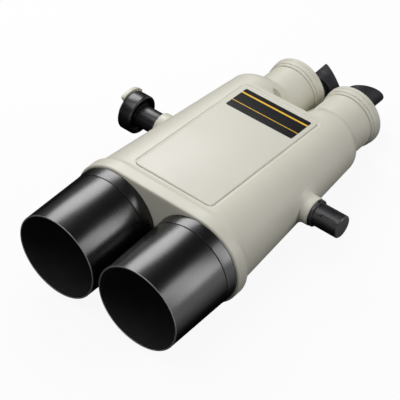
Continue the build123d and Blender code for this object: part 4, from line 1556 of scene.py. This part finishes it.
@dataclass
class Trunnions(Assembly):
    """Journals on both sides, and the clamp knob on the right."""

    left: Outline = (
        (128.314, 0.0), (128.314, 14.0, 1.0), (157.014, 14.0), (157.014, 23.0, 0.6),
        (163.014, 23.0, 0.9), (163.014, 19.5, 0.6), (207.414, 19.5, 0.5),
        (209.014, 17.9, 0.5), (209.014, 0.0),
    )
    right: Outline = (
        (128.314, 0.0), (128.314, 14.0, 1.0), (157.014, 14.0), (157.014, 19.5, 0.8),
        (197.014, 19.5, 1.5), (197.014, 8.05), (173.014, 8.05), (173.014, 0.0),
    )
    knob: Outline = (
        (197.064, 8.04), (197.064, 22.0, 0.4), (205.064, 22.0, 1.0), (205.064, 30.0, 1.0),
        (197.064, 30.0, 0.4), (197.064, 34.5, 3.0), (223.064, 34.5, 3.0), (223.064, 8.04),
    )
    key_size: Triple = (26.0, 5.0, 8.0)
    key_place: Triple = (188.014, 0.0, 21.0)
    key_round: float = 2.4
    key_turn: float = 43.0
    knob_face: float = 223.064
    cap_face: float = 229.564
    cap_round: float = 1.5
    cap_radius: float = 24.0
    cap_steps: int = 36
    tab_radius: float = 38.0
    tab_start: float = 35.0
    tab_sweep: float = 85.0
    tab_corner: float = 3.0
    tab_steps: int = 17
    nut_recess: Triple = (221.064, 227.164, 13.5)

    def _left(self) -> None:
        """Builds the bare journal with its flange and keyway."""
        journal = turn("journal_left", Lathe.crosswise(Side.LEFT), self.left, closed=False)
        key = Bench("key").cube(self.key_size, self.key_place)
        key.pick_edges(lambda a, b: abs(a.z - b.z) > 1).bevel(self.key_round, 6)
        tool = tilted(key.done(), math.radians(self.key_turn), TRUNNION_HEIGHT)
        shaded(combined(journal, tool, Join.CUT))
        fitted(journal, "housing", "black_steel", self.palette.journal, "trunnion_left")

    def _cap_outline(self) -> list[Vector]:
        """Draws the cap and its tab on the knob's outer face.

        Returns:
            Points of the outline, in metres.
        """
        tab_end = self.tab_start + self.tab_sweep
        arcs = (
            (self.tab_radius, self.tab_start, self.tab_sweep, self.tab_steps),
            (self.cap_radius, tab_end, 360.0 - self.tab_sweep, self.cap_steps),
        )
        corners: list[Corner] = []
        for radius, start, sweep, count in arcs:
            for step in range(count + 1):
                angle = math.radians(start + sweep * step / count)
                rounding = self.tab_corner if step in (0, count) else 0.0
                corners.append((radius * math.cos(angle), radius * math.sin(angle), rounding))
        places = eased(corners)
        return [Vector((-self.knob_face, y, TRUNNION_HEIGHT + z)) * MM for y, z in places]

    def _cap(self) -> None:
        """Builds the cap over the stud's nut, with the tab that stands out past the knob."""
        bench = Bench("knob_tab_cap").draw(self._cap_outline()).merge().fill()
        bench.extrude((self.knob_face - self.cap_face, 0, 0)).weld()
        bench.pick_edges(lambda a, b: max(a.x, b.x) < NEAR - self.cap_face)
        cap = bench.bevel(self.cap_round, 4).done()
        recess = plug("nut_recess", Lathe.crosswise(Side.RIGHT), *self.nut_recess)
        shaded(combined(cap, recess, Join.CUT))
        fitted(cap, "clamp", "cream_enamel", self.palette.enamel, "knob_cap")

    def dress(self) -> None:
        """Builds the trunnions and knob and puts them on the frame."""
        self._left()
        lathe = Lathe.crosswise(Side.RIGHT)
        journal = turn("journal_right", lathe, self.right, closed=False)
        fitted(journal, "housing", "black_steel", self.palette.journal, "trunnion_right")
        knob = turn("grip_knob", lathe, self.knob)
        fitted(knob, "clamp", "knob_plastic", self.palette.knob, "clamp_knob")
        self._cap()


@dataclass
class InnerWorks(Assembly):
    """CAD pieces inside the instrument that keep their shapes and get finishes."""

    def dress(self) -> None:
        """Gives each inner piece its finish."""
        palette = self.palette
        finishes = {
            "cover_seal": palette.gasket,
            "cover_screws": palette.steel,
            "prism_plate": palette.black_alloy,
            "prism_plate_screws": palette.steel,
            "clamp_stud": palette.steel,
            "stud_nut": palette.steel,
        }
        paired = {
            "entry_prism": palette.glass,
            "turning_prism": palette.glass,
            "exit_prism": palette.glass,
            "rhomboid_prism": palette.glass,
            "prism_strap": palette.spring,
            "ipd_gear": palette.brass,
            "turret_nut": palette.brass,
        }
        for stem, finish in paired.items():
            finishes.update({f"{stem}_{side.word}": finish for side in Side})
        for node, finish in finishes.items():
            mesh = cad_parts[node].data
            mesh.materials.clear()
            mesh.materials.append(finish)
            log.info("%s keeps its CAD shape", node)


@dataclass(frozen=True)
class Lamp:
    """Soft box: its place and size in metres, and how bright its face is."""

    name: str
    place: Triple
    size: Pair
    radiance: float

    def hang(self, aim: Vector) -> None:
        """Adds the lamp, turned towards a point with its long side level.

        Args:
            aim: The point, in metres.
        """
        data = bpy.data.lights.new(self.name, "AREA")
        data.shape = "RECTANGLE"
        data.size, data.size_y = self.size
        data.energy = self.radiance * math.pi * self.size[0] * self.size[1]
        lamp = bpy.data.objects.new(self.name, data)
        lamp.location = self.place
        lamp.rotation_mode = "QUATERNION"
        lamp.rotation_quaternion = (aim - Vector(self.place)).to_track_quat("-Z", "Y")
        bpy.context.scene.collection.objects.link(lamp)


@dataclass
class Studio:
    """Camera, soft lights, pale floor and white surroundings, in metres and degrees."""

    azimuth: float = 36.117
    elevation: float = 42.868
    roll: float = 3.703
    eye: Triple = (0.97671, -1.43031, 1.61709)
    focal_length: float = 129.12
    sensor: float = 36.0
    lamps: tuple[Lamp, ...] = (
        Lamp("left_softbox", (-1.24, 0.77, 1.43), (1.1, 1.08), 6.6),
        Lamp("right_softbox", (1.59, 0.71, 1.02), (0.62, 1.48), 4.9),
        Lamp("top_softbox", (-0.5, -0.8, 2.3), (1.8, 1.8), 2.3),
        Lamp("front_card", (0.2, -2.6, 1.1), (2.2, 1.4), 1.0),
    )
    aim: Triple = (0.0, -0.28, 0.08)
    wall_fade: Pair = (0.5, 0.2)
    wall_shine: Pair = (-0.2, 0.5)
    dull_wall: float = 0.15
    fill: float = 0.05
    fill_tint: Triple = (1.0, 0.94, 0.8)
    ceiling: float = 0.03
    floor_size: float = 40.0
    # In reflections the floor is painted: near black up to x = 0.2 m as painted shadow of the
    # instrument, white past 0.55 m as painted light.
    floor_reflected_light_ends: Pair = (0.2, 0.55)
    floor_rough: float = 0.9
    floor_white: Triple = (0.85, 0.85, 0.85)
    floor_lit: Triple = (0.04, 0.04, 0.04)
    floor_reflected_shade: Triple = (0.004, 0.004, 0.004)
    floor_glow: float = 0.92

    def _camera(self) -> None:
        """Sets the camera at the photograph's viewing angle."""
        a, e, roll = (math.radians(x) for x in (self.azimuth, self.elevation, self.roll))
        back = Vector((math.sin(a) * math.cos(e), -math.cos(a) * math.cos(e), math.sin(e)))
        right = Vector((math.cos(a), math.sin(a), 0))
        up = back.cross(right)
        turned = math.cos(roll) * right + math.sin(roll) * up
        upright = math.cos(roll) * up - math.sin(roll) * right
        data = bpy.data.cameras.new("camera")
        data.lens = self.focal_length
        data.sensor_width = self.sensor
        camera = bpy.data.objects.new("camera", data)
        place = Matrix((turned, upright, back)).transposed().to_4x4()
        place.translation = Vector(self.eye)
        camera.matrix_world = place
        bpy.context.scene.collection.objects.link(camera)
        bpy.context.scene.camera = camera

    def _world(self) -> None:
        """Sets white walls to look at under a dark ceiling, and a dim even fill."""
        world = bpy.data.worlds.new("studio")
        bpy.context.scene.world = world
        world.use_nodes = True
        tree = Tree(world.node_tree)
        place = tree.place("Generated")
        wall = tree.ramp(tree.axis(place, 2), self.wall_fade)
        bright = tree.ramp(tree.axis(place, 0), self.wall_shine, self.dull_wall)
        path = tree.add("ShaderNodeLightPath").outputs
        shine = tree.math("MULTIPLY", path["Is Glossy Ray"], bright)
        seen = tree.math("MULTIPLY", tree.math("MAXIMUM", tree.seen(path), shine), wall)
        dim = tree.math("MULTIPLY", path["Is Diffuse Ray"], self.fill)
        level = tree.math("MAXIMUM", tree.math("MAXIMUM", seen, dim), self.ceiling)
        tint = tree.mix(path["Is Diffuse Ray"], (1.0, 1.0, 1.0), self.fill_tint)
        tree.feed(world.node_tree.nodes["Background"], {"Strength": level, "Color": tint})

    def _floor(self) -> None:
        """Lays a pale floor under the skids, white to the eye with a faint shadow."""
        bpy.ops.object.select_all(action="DESELECT")
        bpy.ops.mesh.primitive_plane_add(size=self.floor_size)
        floor = bpy.context.object
        floor.name = "floor"
        material, tree, shader = blank("pale_floor")
        path = tree.add("ShaderNodeLightPath").outputs
        glossy = path["Is Glossy Ray"]
        # Glossy rays see painted shadow near the instrument and painted light further to the
        # right, by a ramp along X.
        shine = tree.ramp(tree.axis(tree.place(), 0), self.floor_reflected_light_ends)
        seen = tree.math("MAXIMUM", tree.seen(path), tree.math("MULTIPLY", glossy, shine))
        dark = tree.mix(glossy, self.floor_lit, self.floor_reflected_shade)
        colour = tree.mix(seen, dark, self.floor_white)
        looks = {"Roughness": self.floor_rough, "Specular IOR Level": 0.0, "Base Color": colour}
        glow = tree.add("ShaderNodeEmission", {"Strength": 1.0})
        layers = {
            0: tree.math("MULTIPLY", seen, self.floor_glow),
            1: tree.feed(shader, looks).outputs[0],
            2: glow.outputs[0],
        }
        surface = tree.add("ShaderNodeMixShader", layers).outputs[0]
        tree.feed(material.node_tree.nodes["Material Output"], {0: surface})
        floor.data.materials.append(material)

    def build(self) -> None:
        """Sets up the studio."""
        bpy.context.scene.view_settings.view_transform = "Standard"
        self._camera()
        for lamp in self.lamps:
            lamp.hang(Vector(self.aim))
        self._world()
        self._floor()


def main() -> None:
    """Builds every sub-assembly in order."""
    logging.basicConfig(level=logging.INFO, format="%(message)s")
    Studio().build()
    palette = Palette()
    Housing(palette).dress()
    TopPanel(palette).dress()
    for side in Side:
        Objective(palette, side).dress()
        Turret(palette, side).dress()
        Eyepiece(palette, side).dress()
    Trunnions(palette).dress()
    InnerWorks(palette).dress()


if __name__ == "__main__":
    main()
